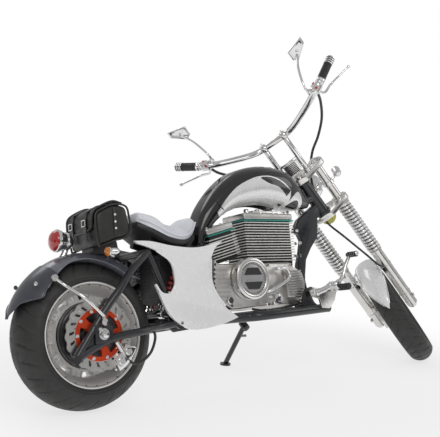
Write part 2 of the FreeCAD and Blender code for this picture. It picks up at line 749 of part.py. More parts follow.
def rearShocks():
    """A coil-over damper on each side between the swingarm's brace and the frame."""
    dampers = []
    for side in (-1, 1):
        low = Vector(shockLowX, side * shockY, shockLowZ)
        high = Vector(shockHighX, side * shockY, shockHighZ)
        run = (high - low).normalize()
        body = rod(low, high, 10)
        spring = ringStack(low + run * 30, high - run * 34, 10, 6, 9)
        eyes = [rod(point - Vector(0, 10, 0), point + Vector(0, 10, 0), 17) for point in (low, high)]
        damper = join([body, spring] + eyes)
        for point in (low, high):
            reach = Vector(0, 30, 0)
            damper = damper.cut(rod(point - reach, point + reach, shockTubeR + seatGap))
        dampers.append(damper)
    return group(dampers)


addPiece("rear_shocks", rearShocks(), bike)

# Rear fender, lamps and bag


def rearFender():
    """A deep sheet fender round the tyre with a longer flap at the rear of each side."""
    half = fenderHalf
    corner = 34
    low = 196
    outer = [Vector(low, -half, 0), Vector(fenderR - corner, -half, 0), Vector(fenderR, -half + corner, 0),
             Vector(fenderR, half - corner, 0), Vector(fenderR - corner, half, 0), Vector(low, half, 0)]
    bulge = corner * (1 - math.sqrt(0.5))
    wall = fenderWall
    innerR = corner - wall
    edges = [Part.makeLine(outer[0], outer[1]),
             Part.Arc(outer[1], Vector(fenderR - bulge, -half + bulge, 0), outer[2]).toShape(),
             Part.makeLine(outer[2], outer[3]),
             Part.Arc(outer[3], Vector(fenderR - bulge, half - bulge, 0), outer[4]).toShape(),
             Part.makeLine(outer[4], outer[5]),
             Part.makeLine(outer[5], Vector(low, half - wall, 0)),
             Part.makeLine(Vector(low, half - wall, 0), Vector(fenderR - corner, half - wall, 0)),
             Part.Arc(Vector(fenderR - corner, half - wall, 0),
                      Vector(fenderR - corner + innerR * math.sqrt(0.5), half - corner + innerR * math.sqrt(0.5), 0),
                      Vector(fenderR - wall, half - corner, 0)).toShape(),
             Part.makeLine(Vector(fenderR - wall, half - corner, 0), Vector(fenderR - wall, -half + corner, 0)),
             Part.Arc(Vector(fenderR - wall, -half + corner, 0),
                      Vector(fenderR - corner + innerR * math.sqrt(0.5), -half + corner - innerR * math.sqrt(0.5), 0),
                      Vector(fenderR - corner, -half + wall, 0)).toShape(),
             Part.makeLine(Vector(fenderR - corner, -half + wall, 0), Vector(low, -half + wall, 0)),
             Part.makeLine(Vector(low, -half + wall, 0), outer[0])]
    sheet3d = Part.Face(Part.Wire(edges)).revolve(Vector(), axisY, -122)
    sheet3d.rotate(Vector(), axisY, -44)
    sheet3d.translate(Vector(0, 0, rearTyreR))
    keep = sidePlate([(-330, 372), (-232, 384), (-166, 387), (-127, 443), (-40, 500), (13, 528),
                      (74, 528), (134, 508), (190, 478), (260, 470), (300, 700), (-400, 700), (-400, 340)],
                     -200, 200)
    return sheet3d.common(keep)


stayR = size("stay_radius", 6, "fender stay")


def fenderStays():
    """Bright stays from the axle plates to the fender's sides."""
    stays = []
    for side in (-1, 1):
        y = side * (fenderHalf + stayR + seatGap)
        out = side * (armY + armR + stayR + seatGap)
        stays.append(pipe([Vector(-226, y, 428), Vector(-176, y, 414), Vector(-80, out, 372),
                           Vector(8, out, 344)], stayR))
    return group(stays)


def tailLamp():
    centre = Vector(-98, 0, 616)
    back = Vector(-1, 0, 0.12)
    cup = Part.makeCone(14, 34, 44, centre - back.normalize() * 44, back)
    bezel = Part.makeCylinder(35, 10, centre, back)
    dome = Part.makeCone(33, 18, 14, centre + back.normalize() * 9, back)
    foot = Part.makeBox(40, 30, 26, Vector(-96, -15, fenderR + rearTyreR - 12))
    foot = foot.cut(Part.makeCylinder(fenderR + seatGap, 400, Vector(0, -200, rearTyreR), axisY))
    return join([cup, bezel, dome, foot])


def bullet(centre, direction, radius, length):
    """A turn signal: a bullet shell with a domed lens at its open end."""
    direction = Vector(direction).normalize()
    back = centre - direction * length * 0.5
    shell = Part.makeCone(radius * 0.35, radius, length * 0.62, back, direction)
    rim = Part.makeCylinder(radius + 1.5, length * 0.16, back + direction * length * 0.62, direction)
    lens = Part.makeCone(radius, radius * 0.6, length * 0.22, back + direction * length * 0.78, direction)
    return join([shell, rim, lens])


def rearSignals():
    shapes = []
    for side in (-1, 1):
        centre = Vector(64, side * 146, 552)
        lamp = bullet(centre, (-1, 0, 0), 19, 62)
        stalk = rod(Vector(70, side * (fenderHalf + seatGap), 540), Vector(70, side * 146, 540), 6)
        shapes.append(join([lamp, stalk]))
    return group(shapes)


def tailBag():
    """The soft bag's closed outer form, resting on the fender's top."""
    body = sidePlate([(-46, 560), (-46, 650), (-24, 684), (24, 728), (96, 748), (190, 752), (224, 716),
                      (222, 652), (170, 608), (110, 590), (60, 560)], -bagHalf, bagHalf)
    rest = Part.makeCylinder(fenderR + 0.6, 400, Vector(0, -200, rearTyreR), axisY)
    return body.cut(rest)


addPiece("rear_fender", rearFender(), bike)
addPiece("fender_stays", fenderStays(), bike)
addPiece("tail_lamp", tailLamp(), bike)
addPiece("rear_signals", rearSignals(), bike)
addPiece("tail_bag", tailBag(), bike)


def footControls():
    """Forward brackets with pegs and pedals, one set on each side."""
    shapes = []
    for side in (-1, 1):
        inner = side * (railY + railR + seatGap)
        start = min(inner, inner + side * 10)
        bracket = Part.makeBox(60, 10, 110, Vector(1030, start, railZ - 8))
        peg = rod(Vector(1070, inner, 385), Vector(1078, side * 268, 392), 15)
        arm = pipe([Vector(1050, side * (railY + railR + 16), 388), Vector(1110, side * 198, 412),
                    Vector(1172, side * 214, 470), Vector(1206, side * 226, 520)], 7)
        pad = rod(Vector(1206, side * 200, 524), Vector(1206, side * 262, 524), 12)
        shapes.append(join([bracket, peg, arm, pad]))
    return group(shapes)


addPiece("foot_controls", footControls(), bike)

# Steering, in its own frame: X ahead of the axis, Y left, Z along the axis


bridgeInset = size("bridge_inset", 3, "clamp bridge below its bosses")


def clampPlate(height, thickness):
    """A fork clamp: bosses round the stem and the legs on one tapering bridge."""
    base = height - thickness / 2
    shapes = [Part.makeCylinder(stemR + 18, thickness, Vector(0, 0, base))]
    floor = base + bridgeInset
    bridge = outline([Vector(-20, -26, floor), Vector(forkOffset - 22, -legHalf - 4, floor),
                      Vector(forkOffset + 18, -legHalf + 4, floor), Vector(forkOffset + 18, legHalf - 4, floor),
                      Vector(forkOffset - 22, legHalf + 4, floor), Vector(-20, 26, floor)])
    shapes.append(bridge.extrude(Vector(0, 0, thickness - 2 * bridgeInset)))
    for side in (-1, 1):
        shapes.append(Part.makeCylinder(legR + 12, thickness, Vector(forkOffset, side * legHalf, base)))
    clamp = join(shapes)
    for side in (-1, 1):
        clamp = clamp.cut(Part.makeCylinder(legR + seatGap, thickness, Vector(forkOffset, side * legHalf, base)))
    return clamp


def steeringStem():
    lower = clampPlate(lowerClampC, clampT)
    stem = Part.makeCylinder(stemR, upperClampC + clampT / 2 + 12 - lowerClampC, Vector(0, 0, lowerClampC))
    return join([lower, stem])


def upperClamp():
    clamp = clampPlate(upperClampC, clampT)
    hole = Part.makeCylinder(stemR + seatGap, clampT, Vector(0, 0, upperClampC - clampT / 2))
    return clamp.cut(hole)


def forkLegs():
    """Tubes, sliders and the axle that joins them."""
    shapes = []
    top = upperClampC + clampT / 2 + 8
    for side in (-1, 1):
        foot = Vector(forkOffset, side * legHalf, -26)
        shapes.append(Part.makeCylinder(sliderR - 4, 40, foot))
        shapes.append(Part.makeCylinder(sliderR, sliderTopC - 14, foot + Vector(0, 0, 40)))
        shapes.append(Part.makeCylinder(legR, top + 26, foot))
    reach = legHalf + sliderR + 6
    shapes.append(rod(Vector(forkOffset, -reach, 0), Vector(forkOffset, reach, 0), frontAxleR))
    return join(shapes)


def forkSprings():
    coils = []
    low = sliderTopC + seatGap
    high = lowerClampC - clampT / 2 - seatGap
    for side in (-1, 1):
        start = Vector(forkOffset, side * legHalf, low)
        end = Vector(forkOffset, side * legHalf, high)
        coils.append(ringStack(start, end, legR + seatGap, 6, 16))
    return group(coils)


barPath = [(riserA, 0, riserC), (riserA - 6, riserHalf + 40, riserC + 6), (-74, 190, riserC + 66),
           (-150, 264, riserC + 122), (-128, 318, riserC + 146), (-62, barEndB - 26, riserC + 174)]
clampTop = upperClampC + clampT / 2
bridgeTop = clampTop - bridgeInset


def barPoints(side):
    return [Vector(a, side * b, c) for a, b, c in barPath]


def handlebar():
    """The bar with its two risers."""
    left = barPoints(1)
    right = barPoints(-1)
    bar = pipe(right[:0:-1] + left[1:], barR)
    shapes = [bar]
    for side in (-1, 1):
        foot = Vector(riserA, side * riserHalf, bridgeTop + seatGap)
        shapes.append(rod(foot, Vector(riserA, side * riserHalf, riserC), 13))
    return join(shapes)


def barEnvelope(side, gap):
    return pipe(barPoints(side)[1:], barR + gap)


def grips():
    shapes = []
    for side in (-1, 1):
        points = barPoints(side)
        start = points[-2]
        end = points[-1]
        run = (end - start).normalize()
        grip = rod(start + run * 4, end, gripR + 1).cut(barEnvelope(side, seatGap))
        shapes.append(grip)
        shapes.append(rod(end + run * seatGap, end + run * 27, gripR - 1))
    return group(shapes)


def switchPlace(side):
    """Middle of a switch housing and the bar's direction there."""
    points = barPoints(side)
    run = points[-2] - points[-3]
    return points[-3] + run * 0.32, run.normalize()


def switchHousing(side, gap=0.0):
    middle, run = switchPlace(side)
    return rod(middle - run * (20 + gap), middle + run * (20 + gap), 24 + gap)


def barControls():
    """A switch housing with its lever on each side."""
    shapes = []
    for side in (-1, 1):
        middle, run = switchPlace(side)
        housing = switchHousing(side)
        lever = pipe([middle + Vector(24, 0, 0), middle + Vector(66, side * 26, 8),
                      middle + Vector(112, side * 90, 30), middle + Vector(140, side * 160, 52)], 6)
        shapes.append(join([housing, lever]).cut(barEnvelope(side, seatGap)))
    return group(shapes)


def mirrors():
    shapes = []
    for side in (-1, 1):
        points = barPoints(side)
        run = (points[-3] - points[-4]).normalize()
        seat = points[-3] - run * 34
        ring = rod(seat - run * 8, seat + run * 8, barR + 6)
        stem = pipe([seat + Vector(0, 0, barR + 3), Vector(-173, side * 247, 1262),
                     Vector(-133, side * 276, 1350), Vector(-50, side * 306, 1386)], 5)
        plate = outline([Vector(-58, side * 246, 1352), Vector(-58, side * 258, 1420), Vector(-58, side * 352, 1432),
                         Vector(-58, side * 372, 1366), Vector(-58, side * 300, 1344)]).extrude(Vector(14, 0, 0))
        shapes.append(join([ring, stem, plate]).cut(barEnvelope(side, seatGap)))
    return group(shapes)


def instrumentBox():
    box = Part.makeBox(46, 2 * (riserHalf - 16), 64, Vector(2, -riserHalf + 16, bridgeTop + seatGap + 18))
    foot = Part.makeBox(12, 40, 20, Vector(34, -20, bridgeTop + seatGap))
    return join([box.makeFillet(6, box.Edges), foot])


def horn():
    disc = Part.makeCylinder(38, 22, Vector(forkOffset + 40, 0, 606), axisX)
    top = lowerClampC - clampT / 2 + bridgeInset - seatGap
    bracket = Part.makeBox(8, 30, top - 590, Vector(forkOffset + 6, -15, 590))
    return join([disc, bracket, rod(Vector(forkOffset + 10, 0, 606), Vector(forkOffset + 44, 0, 606), 12)])


def lampShell(gap=0.0):
    return Part.makeCone(30 + gap, 64 + gap, 66, Vector(forkOffset + 52 - gap, 0, 752), axisX)


def headLamp():
    shell = lampShell()
    rim = Part.makeCylinder(68, 14, Vector(forkOffset + 118, 0, 752), axisX)
    arm = Part.makeBox(58, 24, 16, Vector(forkOffset + 8, -12, 744))
    low = lowerClampC + clampT / 2 - bridgeInset + seatGap
    high = upperClampC - clampT / 2 + bridgeInset - seatGap
    back = Part.makeBox(8, 40, high - low, Vector(forkOffset + 6, -20, low))
    return join([shell, rim, arm, back])


def frontSignals():
    shapes = []
    for side in (-1, 1):
        centre = Vector(forkOffset + 20, side * (legHalf + 74), 770)
        lamp = bullet(centre, (1, 0, 0), 19, 62)
        stalk = rod(Vector(forkOffset, side * (legHalf + 26), 762), centre, 6)
        ring = Part.makeCylinder(legR + 9, 20, Vector(forkOffset, side * legHalf, 752))
        ring = ring.cut(Part.makeCylinder(legR + seatGap, 20, Vector(forkOffset, side * legHalf, 752)))
        shapes.append(join([lamp, stalk, ring]))
    return group(shapes)


def frontFender():
    """A short teardrop fender carried by two side straps on the sliders."""
    radius = frontTyreR + 16
    half = frontTyreW / 2 + 5
    wall = 3
    section = [Vector(radius - 34, -half, 0), Vector(radius - 8, -half + 4, 0), Vector(radius, -half + 26, 0),
               Vector(radius, half - 26, 0), Vector(radius - 8, half - 4, 0), Vector(radius - 34, half, 0),
               Vector(radius - 34, half - wall, 0), Vector(radius - 8 - wall, half - 4 - wall, 0),
               Vector(radius - wall, half - 26, 0), Vector(radius - wall, -half + 26, 0),
               Vector(radius - 8 - wall, -half + 4 + wall, 0), Vector(radius - 34, -half + wall, 0)]
    cover = outline(section).revolve(Vector(), axisY, -100)
    cover.rotate(Vector(), axisY, -60)
    cover.translate(Vector(forkOffset, 0, 0))
    shapes = [cover]
    for side in (-1, 1):
        inner = half - 1
        outer = legHalf - sliderR - seatGap
        strap = Part.makeBox(26, outer - inner, 60, Vector(forkOffset - 13, inner if side > 0 else -outer, radius - 80))
        shapes.append(strap)
    return join(shapes)


def frontCaliper():
    block = caliperBlock(frontDiscR, 150, 40, 28, 2.5)
    block.translate(Vector(forkOffset, frontDiscY, 0))
    lug = Part.makeBox(86, 8, 46, Vector(forkOffset - 100, frontDiscY + 8, 40))
    return join([block, lug])


def controlCables():
    """The cable bundle from the right switch down to the steering head."""
    side = -1
    middle, run = switchPlace(side)
    route = [middle + Vector(8, 0, -16), Vector(-70, side * 270, 1140), Vector(6, side * 236, 1056),
             Vector(70, side * 178, 978), Vector(122, side * 116, 916), Vector(116, side * 60, 850),
             Vector(98, side * 32, 800), Vector(forkOffset + 51, side * 20, 760)]
    return pipe(route, 6).cut([switchHousing(side, seatGap), lampShell(seatGap)])


addPiece("steering_stem", steeringStem(), steering)
addPiece("upper_clamp", upperClamp(), steering)
addPiece("fork_legs", forkLegs(), steering)
addPiece("fork_springs", forkSprings(), steering)
addPiece("handlebar", handlebar(), steering)
addPiece("grips", grips(), steering)
addPiece("bar_controls", barControls(), steering)
addPiece("mirrors", mirrors(), steering)
addPiece("instrument_box", instrumentBox(), steering)
addPiece("horn", horn(), steering)
addPiece("head_lamp", headLamp(), steering)
addPiece("front_signals", frontSignals(), steering)
addPiece("front_fender", frontFender(), steering)
addPiece("front_caliper", frontCaliper(), steering)
addPiece("control_cables", controlCables(), steering)

# Side stand

standPivot = Vector(standX, standY, standZ)
down = attitude.inverted().multVec(axisZ) * -1
toGround = parked.multVec(Vector(standX, standFootY, 0)).z / attitude.multVec(axisZ).z
standFoot = Vector(standX, standFootY, -toGround)
legRun = (standFoot - standPivot).normalize()
foldedRun = Vector(-0.985, 0.06, -0.16).normalize()
standAxis = legRun.cross(foldedRun).normalize()


def sideStand():
    """Leg, pivot eye and the flat foot that lies on the ground."""
    eye = Part.makeCylinder(17, 18, standPivot - standAxis * 9, standAxis)
    leg = rod(standPivot + legRun * 10, standFoot - down * 6, standR)
    sole = Part.makeCylinder(24, 8, standFoot, down * -1)
    tab = rod(standPivot + legRun * 60, standPivot + legRun * 64 + Vector(64, 34, 0), 6)
    return join([eye, leg, sole, tab]).cut(Part.makeCylinder(8 + seatGap, 60, standPivot - standAxis * 30, standAxis))


addPiece("side_stand", sideStand(), bike)


def standPin():
    """Pivot bolt and the two cheeks that hold the stand under the left rail."""
    bolt = Part.makeCylinder(8, 44, standPivot - standAxis * 22, standAxis)
    cheeks = []
    for side in (-1, 1):
        start = standPivot + standAxis * (side * 12 if side > 0 else -20)
        cheeks.append(Part.makeCylinder(16, 8, start, standAxis))
    return join([bolt] + cheeks).cut(pipe(railPoints(1), railR + seatGap))


addPiece("stand_pin", standPin(), bike)

# Origin at the bottom centre of the parked motorcycle

doc.recompute()
box = FreeCAD.BoundBox()
for piece in pieces:
    box.add(piece.Shape.optimalBoundingBox())
home = Placement(Vector(-box.Center.x, -box.Center.y, -box.ZMin), Rotation())
for piece in pieces:
    piece.Placement = home.multiply(piece.Placement)
doc.recompute()
whole = home.multiply(parked)

for item in doc.Objects:
    if "Invalid" in item.State or "Error" in item.State:
        raise RuntimeError("%s did not build" % item.Name)
os.makedirs("parts", exist_ok=True)
for piece in pieces:
    shape = piece.Shape
    if shape.isNull() or not shape.isValid() or not shape.Solids:
        raise RuntimeError("%s has no valid solid" % piece.Label)
    shape.exportStep("parts/%s.step" % piece.Label)
    print("%-18s solids %2d  volume %8.0f cm3" % (piece.Label, len(shape.Solids), shape.Volume / 1000))

print("size", [round(v, 1) for v in (box.XLength, box.YLength, box.ZLength)], "pitch", round(pitch, 3))
places = {
    "rear axle": (rearWheel.Base, axisY),
    "steering": (onAxis(upperClampC), upAxis),
    "front axle": (frontWheel.Base, turned.multVec(axisY)),
    "side stand": (standPivot, standAxis)}
for name, (point, axis) in places.items():
    where = whole.multVec(point)
    along = whole.Rotation.multVec(axis)
    print(name, [round(v / 1000, 5) for v in where], [round(v, 6) for v in along])
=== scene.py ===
import json
import math

import bmesh
import bpy
from mathutils import Matrix, Vector
from mathutils.bvhtree import BVHTree

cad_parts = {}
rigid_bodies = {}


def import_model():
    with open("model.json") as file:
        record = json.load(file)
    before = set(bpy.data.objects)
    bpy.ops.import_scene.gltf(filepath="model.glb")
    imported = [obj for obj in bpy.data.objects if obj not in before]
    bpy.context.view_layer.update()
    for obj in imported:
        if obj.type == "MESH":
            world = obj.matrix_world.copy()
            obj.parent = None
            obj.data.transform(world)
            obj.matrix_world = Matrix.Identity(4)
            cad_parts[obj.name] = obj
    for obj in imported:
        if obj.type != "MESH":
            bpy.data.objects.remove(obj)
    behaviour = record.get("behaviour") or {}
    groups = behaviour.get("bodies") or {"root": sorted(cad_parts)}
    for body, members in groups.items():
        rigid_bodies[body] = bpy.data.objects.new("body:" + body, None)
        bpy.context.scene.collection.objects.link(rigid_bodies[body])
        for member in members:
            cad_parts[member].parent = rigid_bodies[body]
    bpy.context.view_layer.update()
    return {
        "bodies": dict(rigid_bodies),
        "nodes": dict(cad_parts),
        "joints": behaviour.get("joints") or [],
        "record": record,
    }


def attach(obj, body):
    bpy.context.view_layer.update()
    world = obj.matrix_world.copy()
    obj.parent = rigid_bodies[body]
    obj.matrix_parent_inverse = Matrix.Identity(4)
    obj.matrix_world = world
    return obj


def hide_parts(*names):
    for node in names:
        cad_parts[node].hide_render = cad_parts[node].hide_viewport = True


# A lean chopper with a hub motor, on its side stand with the bar on the left stop

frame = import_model()
print("frame loaded:", len(frame["nodes"]), "nodes")

joints = {joint["name"]: joint for joint in frame["joints"]}
rearTyreRadius = 0.265
forkOffset = 0.070
clampHeight = 0.876  # where the steering joint lies along its axis


def placeOf(ahead, left, up, origin):
    matrix = Matrix((ahead, left, up)).transposed().to_4x4()
    matrix.translation = origin
    return matrix


# Drawing frames: the bike upright over its rear axle, the turned fork, and both wheels
rearAxle = Vector(joints["rear_wheel_spin"]["pos_m"])
bikeLeft = Vector(joints["rear_wheel_spin"]["axis"]).normalized()
bikePitch = math.atan2(-bikeLeft.x, -bikeLeft.z)
bikeAhead = Vector((math.cos(bikePitch), 0, -math.sin(bikePitch)))
bikeUp = bikeAhead.cross(bikeLeft).normalized()
forkUp = Vector(joints["steering_turn"]["axis"]).normalized()
forkLeft = Vector(joints["front_wheel_spin"]["axis"]).normalized()
forkAhead = forkLeft.cross(forkUp).normalized()
forkRoot = Vector(joints["steering_turn"]["pos_m"]) - forkUp * clampHeight
bike = placeOf(bikeAhead, bikeLeft, bikeUp, rearAxle - bikeUp * rearTyreRadius)
rearWheel = placeOf(bikeAhead, bikeLeft, bikeUp, rearAxle)
fork = placeOf(forkAhead, forkLeft, forkUp, forkRoot)
frontWheel = placeOf(forkAhead, forkLeft, forkUp, forkRoot + forkAhead * forkOffset)

# Camera, floor and light
view = {
    "offset": (-1.32153, -2.52583, 0.64630),  # from the rear axle
    "yaw": 52.89, "pitch": 4.06, "roll": 3.47,
    "lens": 64.78, "shiftUp": 0.0034, "sensor": 36, "far": 60,
}


def linked(name, data):
    made = bpy.data.objects.new(name, data)
    bpy.context.scene.collection.objects.link(made)
    return made


def makeCamera():
    yaw, pitch, roll = (math.radians(view[key]) for key in ("yaw", "pitch", "roll"))
    ahead = Vector((math.cos(yaw) * math.cos(pitch), math.sin(yaw) * math.cos(pitch), -math.sin(pitch)))
    right = Vector((math.sin(yaw), -math.cos(yaw), 0))
    above = right.cross(ahead)
    rolledRight = right * math.cos(roll) + above * math.sin(roll)
    rolledAbove = above * math.cos(roll) - right * math.sin(roll)
    camera = linked("camera", bpy.data.cameras.new("camera"))
    camera.data.sensor_fit = "HORIZONTAL"
    camera.data.sensor_width = view["sensor"]
    camera.data.lens = view["lens"]
    camera.data.shift_y = view["shiftUp"]
    camera.data.clip_end = view["far"]
    camera.matrix_world = placeOf(rolledRight, rolledAbove, -ahead, rearAxle + Vector(view["offset"]))
    bpy.context.scene.camera = camera


studio = {
    "floorColour": (0.84, 0.84, 0.845), "floorRoughness": 0.8, "floorGloss": 0.2, "floorSize": 30.0,
    "fadeFrom": 0.9, "fadeTo": 1.9, "nearWhite": 0.72, "worldStrength": 0.50,
    "cardColour": (0.045, 0.045, 0.045), "cardRoughness": 0.9,
    "cards": {
        "cardBehindCamera": [(-4.2, -4.6, 0.5), (-0.6, -5.6, 0.5), (-0.6, -5.6, 1.5), (-4.2, -4.6, 1.5)],
        "cardRight": [(2.2, -4.6, 0.2), (3.2, -3.0, 0.2), (3.2, -3.0, 1.6), (2.2, -4.6, 1.6)],
        "cardRear": [(-4.4, -1.8, 0.2), (-4.4, 0.2, 0.2), (-4.4, 0.2, 1.3), (-4.4, -1.8, 1.3)],
    },
    "lights": {  # place, target, size and power
        "keyLight": ((-1.6, -3.4, 3.6), (0, 0, 0.5), (2.6, 1.6), 42),
        "fillLight": ((3.4, -2.2, 2.6), (0.2, 0, 0.5), (2.0, 1.6), 13),
        "backLight": ((-0.6, 3.2, 3.4), (0, 0, 0.6), (3.0, 1.4), 24),
    },
}


def newNode(tree, kind, inputs, **settings):
    # An input takes a value, a socket or the first output of another node
    node = tree.nodes.new(kind)
    for key, value in settings.items():
        setattr(node, key, value)
    for key, value in inputs.items():
        if isinstance(value, bpy.types.Node):
            value = value.outputs[0]
        if isinstance(value, bpy.types.NodeSocket):
            tree.links.new(value, node.inputs[key])
        else:
            node.inputs[key].default_value = value
    return node


def newFinish(name, colour=None, roughness=None):
    # A plain tone where one is given, and what is needed to wire a richer one
    material = bpy.data.materials.new(name)
    material.use_nodes = True
    tree = material.node_tree
    shader = tree.nodes["Principled BSDF"]
    if colour:
        shader.inputs["Base Color"].default_value = (*colour, 1)
        shader.inputs["Roughness"].default_value = roughness
    coords = tree.nodes.new("ShaderNodeTexCoord")
    return material, tree, shader, coords.outputs["Object"]


def addLight(name, place, target, size, power):
    light = bpy.data.lights.new(name, "AREA")
    light.shape = "RECTANGLE"
    light.size, light.size_y = size
    light.energy = power
    lamp = linked(name, light)
    lamp.location = place
    lamp.rotation_euler = (Vector(target) - Vector(place)).to_track_quat("-Z", "Y").to_euler()


def stagePlane(name, corners, material):
    mesh = bpy.data.meshes.new(name)
    mesh.from_pydata(corners, [], [tuple(range(len(corners)))])
    mesh.materials.append(material)
    plane = linked(name, mesh)
    return plane


def makeWorld(scene):
    # White where the camera looks past the bike, soft and even for its light
    world = bpy.data.worlds.new("studio")
    world.use_nodes = True
    scene.world = world
    tree = world.node_tree
    soft = tree.nodes["Background"]
    soft.inputs["Color"].default_value = (1, 1, 1, 1)
    soft.inputs["Strength"].default_value = studio["worldStrength"]
    white = newNode(tree, "ShaderNodeBackground", {"Color": (1, 1, 1, 1)})
    path = newNode(tree, "ShaderNodeLightPath", {})
    mix = newNode(tree, "ShaderNodeMixShader", {0: path.outputs["Is Camera Ray"], 1: soft, 2: white})
    tree.links.new(mix.outputs[0], tree.nodes["World Output"].inputs["Surface"])


def floorMaterial():
    # The floor goes over to plain white away from the bike
    material, tree, shader, coords = newFinish("paleFloor", studio["floorColour"], studio["floorRoughness"])
    shader.inputs["Specular IOR Level"].default_value = studio["floorGloss"]
    distance = newNode(tree, "ShaderNodeVectorMath", {0: coords}, operation="LENGTH")
    fade = newNode(tree, "ShaderNodeMapRange", {
        "Value": distance.outputs["Value"], "From Min": studio["fadeFrom"], "From Max": studio["fadeTo"],
        "To Min": studio["nearWhite"]}, interpolation_type="SMOOTHSTEP")
    white = newNode(tree, "ShaderNodeEmission", {})
    mix = newNode(tree, "ShaderNodeMixShader", {0: fade, 1: shader, 2: white})
    tree.links.new(mix.outputs[0], tree.nodes["Material Output"].inputs["Surface"])
    return material


def makeStudio():
    scene = bpy.context.scene
    scene.view_settings.view_transform = "Standard"
    makeWorld(scene)
    half = studio["floorSize"] / 2
    stagePlane("floor", [(-half, -half, 0), (half, -half, 0), (half, half, 0), (-half, half, 0)], floorMaterial())
    dark = newFinish("darkCard", studio["cardColour"], studio["cardRoughness"])[0]
    for name, corners in studio["cards"].items():
        stagePlane(name, corners, dark).visible_camera = False
    for name, (place, target, size, power) in studio["lights"].items():
        addLight(name, place, target, size, power)


makeCamera()
makeStudio()
print("camera and studio ready")

# Finishes


def noiseNode(tree, coords, scale, detail=4.0, roughness=0.55):
    inputs = {"Vector": coords, "Scale": scale, "Detail": detail, "Roughness": roughness}
    return newNode(tree, "ShaderNodeTexNoise", inputs).outputs["Fac"]


def twoTone(tree, factor, shade, colour):
    node = newNode(tree, "ShaderNodeValToRGB", {"Fac": factor})
    for element, position, tone in zip(node.color_ramp.elements, look["toneStops"], (shade, colour)):
        element.position = position
        element.color = (*tone, 1)
    return node.outputs["Color"]


def spread(tree, factor, low, high):
    inputs = {"Value": factor, "From Min": 0.3, "From Max": 0.7, "To Min": low, "To Max": high}
    return newNode(tree, "ShaderNodeMapRange", inputs).outputs["Result"]


look = {
    "patchDetail": 5.0, "toneStops": (0.32, 0.62), "coatRoughness": 0.06,
    "markScale": 38, "markDetail": 6.0, "markRoughness": 0.7, "smoothest": 0.75, "roughest": 1.35,
    "grainDetail": 3.0, "grainDepth": 0.0004,
}


def metalFinish(name, colour, shade, roughness, grain=0.0, grainScale=900, metallic=1.0, patch=9.0, coat=0.0):
    # Two close tones in soft patches, hand marks in the gloss and, where asked, a cast or brushed grain
    material, tree, shader, coords = newFinish(name)
    patches = noiseNode(tree, coords, patch, look["patchDetail"])
    tree.links.new(twoTone(tree, patches, shade, colour), shader.inputs["Base Color"])
    shader.inputs["Metallic"].default_value = metallic
    shader.inputs["Coat Weight"].default_value = coat
    shader.inputs["Coat Roughness"].default_value = look["coatRoughness"]
    marks = noiseNode(tree, coords, look["markScale"], look["markDetail"], look["markRoughness"])
    gloss = spread(tree, marks, roughness * look["smoothest"], roughness * look["roughest"])
    tree.links.new(gloss, shader.inputs["Roughness"])
    if grain:
        height = noiseNode(tree, coords, grainScale, look["grainDetail"])
        raised = newNode(tree, "ShaderNodeBump", {"Height": height, "Strength": grain, "Distance": look["grainDepth"]})
        tree.links.new(raised.outputs["Normal"], shader.inputs["Normal"])
    return material


chrome = metalFinish("chrome", (0.80, 0.80, 0.81), (0.66, 0.65, 0.64), 0.09)
brightAlloy = metalFinish("brightAlloy", (0.76, 0.75, 0.74), (0.66, 0.65, 0.62), 0.20)
castAlloy = metalFinish("castAlloy", (0.60, 0.59, 0.57), (0.46, 0.44, 0.42), 0.34, 0.25, 500)
rimSilver = metalFinish("rimSilver", (0.82, 0.81, 0.79), (0.76, 0.75, 0.72), 0.34, 0.05, metallic=0.35)
blackPaint = metalFinish("blackPaint", (0.016, 0.017, 0.020), (0.010, 0.011, 0.013), 0.30, 0.10,
                         metallic=0.1, coat=0.35)
tankPaint = metalFinish("tankPaint", (0.010, 0.010, 0.012), (0.006, 0.006, 0.007), 0.16, metallic=0.1, coat=0.55)
fenderPaint = metalFinish("fenderPaint", (0.19, 0.195, 0.23), (0.14, 0.145, 0.17), 0.30, metallic=0.45, coat=0.6)
pearlPaint = metalFinish("pearlPaint", (0.86, 0.86, 0.87), (0.82, 0.82, 0.83), 0.24, metallic=0.12, patch=3.0, coat=0.7)
panelSilver = metalFinish("panelSilver", (0.80, 0.80, 0.80), (0.74, 0.74, 0.74), 0.26, metallic=0.35, coat=0.6)
rubber = metalFinish("rubber", (0.028, 0.027, 0.026), (0.018, 0.0175, 0.017), 0.55, 0.3, 700, metallic=0.0)
blackPlastic = metalFinish("blackPlastic", (0.022, 0.022, 0.023), (0.015, 0.015, 0.016), 0.45, 0.25, 900, metallic=0.0)
seatVinyl = metalFinish("seatVinyl", (0.80, 0.81, 0.86), (0.68, 0.69, 0.75), 0.5, 0.5, 260, metallic=0.0)
bagLeather = metalFinish("bagLeather", (0.022, 0.020, 0.019), (0.013, 0.012, 0.011), 0.42, 0.6, 420, metallic=0.0)
redLens = metalFinish("redLens", (0.50, 0.010, 0.012), (0.34, 0.006, 0.008), 0.12, metallic=0.0, coat=1.0)
orangeAnodised = metalFinish("orangeAnodised", (0.62, 0.055, 0.010), (0.48, 0.035, 0.008), 0.3, 0.08, metallic=0.55)
hornZinc = metalFinish("hornZinc", (0.62, 0.60, 0.16), (0.46, 0.44, 0.10), 0.32, 0.1, metallic=0.6)
steelDisc = metalFinish("steelDisc", (0.56, 0.55, 0.53), (0.47, 0.46, 0.44), 0.28, 0.1, 1400)

shownNodes = {
    "front_rim": rimSilver, "rear_axle": castAlloy, "steering_stem": brightAlloy, "front_caliper": brightAlloy,
    "side_stand": blackPaint, "stand_pin": blackPaint,
}
for nodeName, finish in shownNodes.items():
    materials = frame["nodes"][nodeName].data.materials
    materials.clear()
    materials.append(finish)
print("frame finishes set")


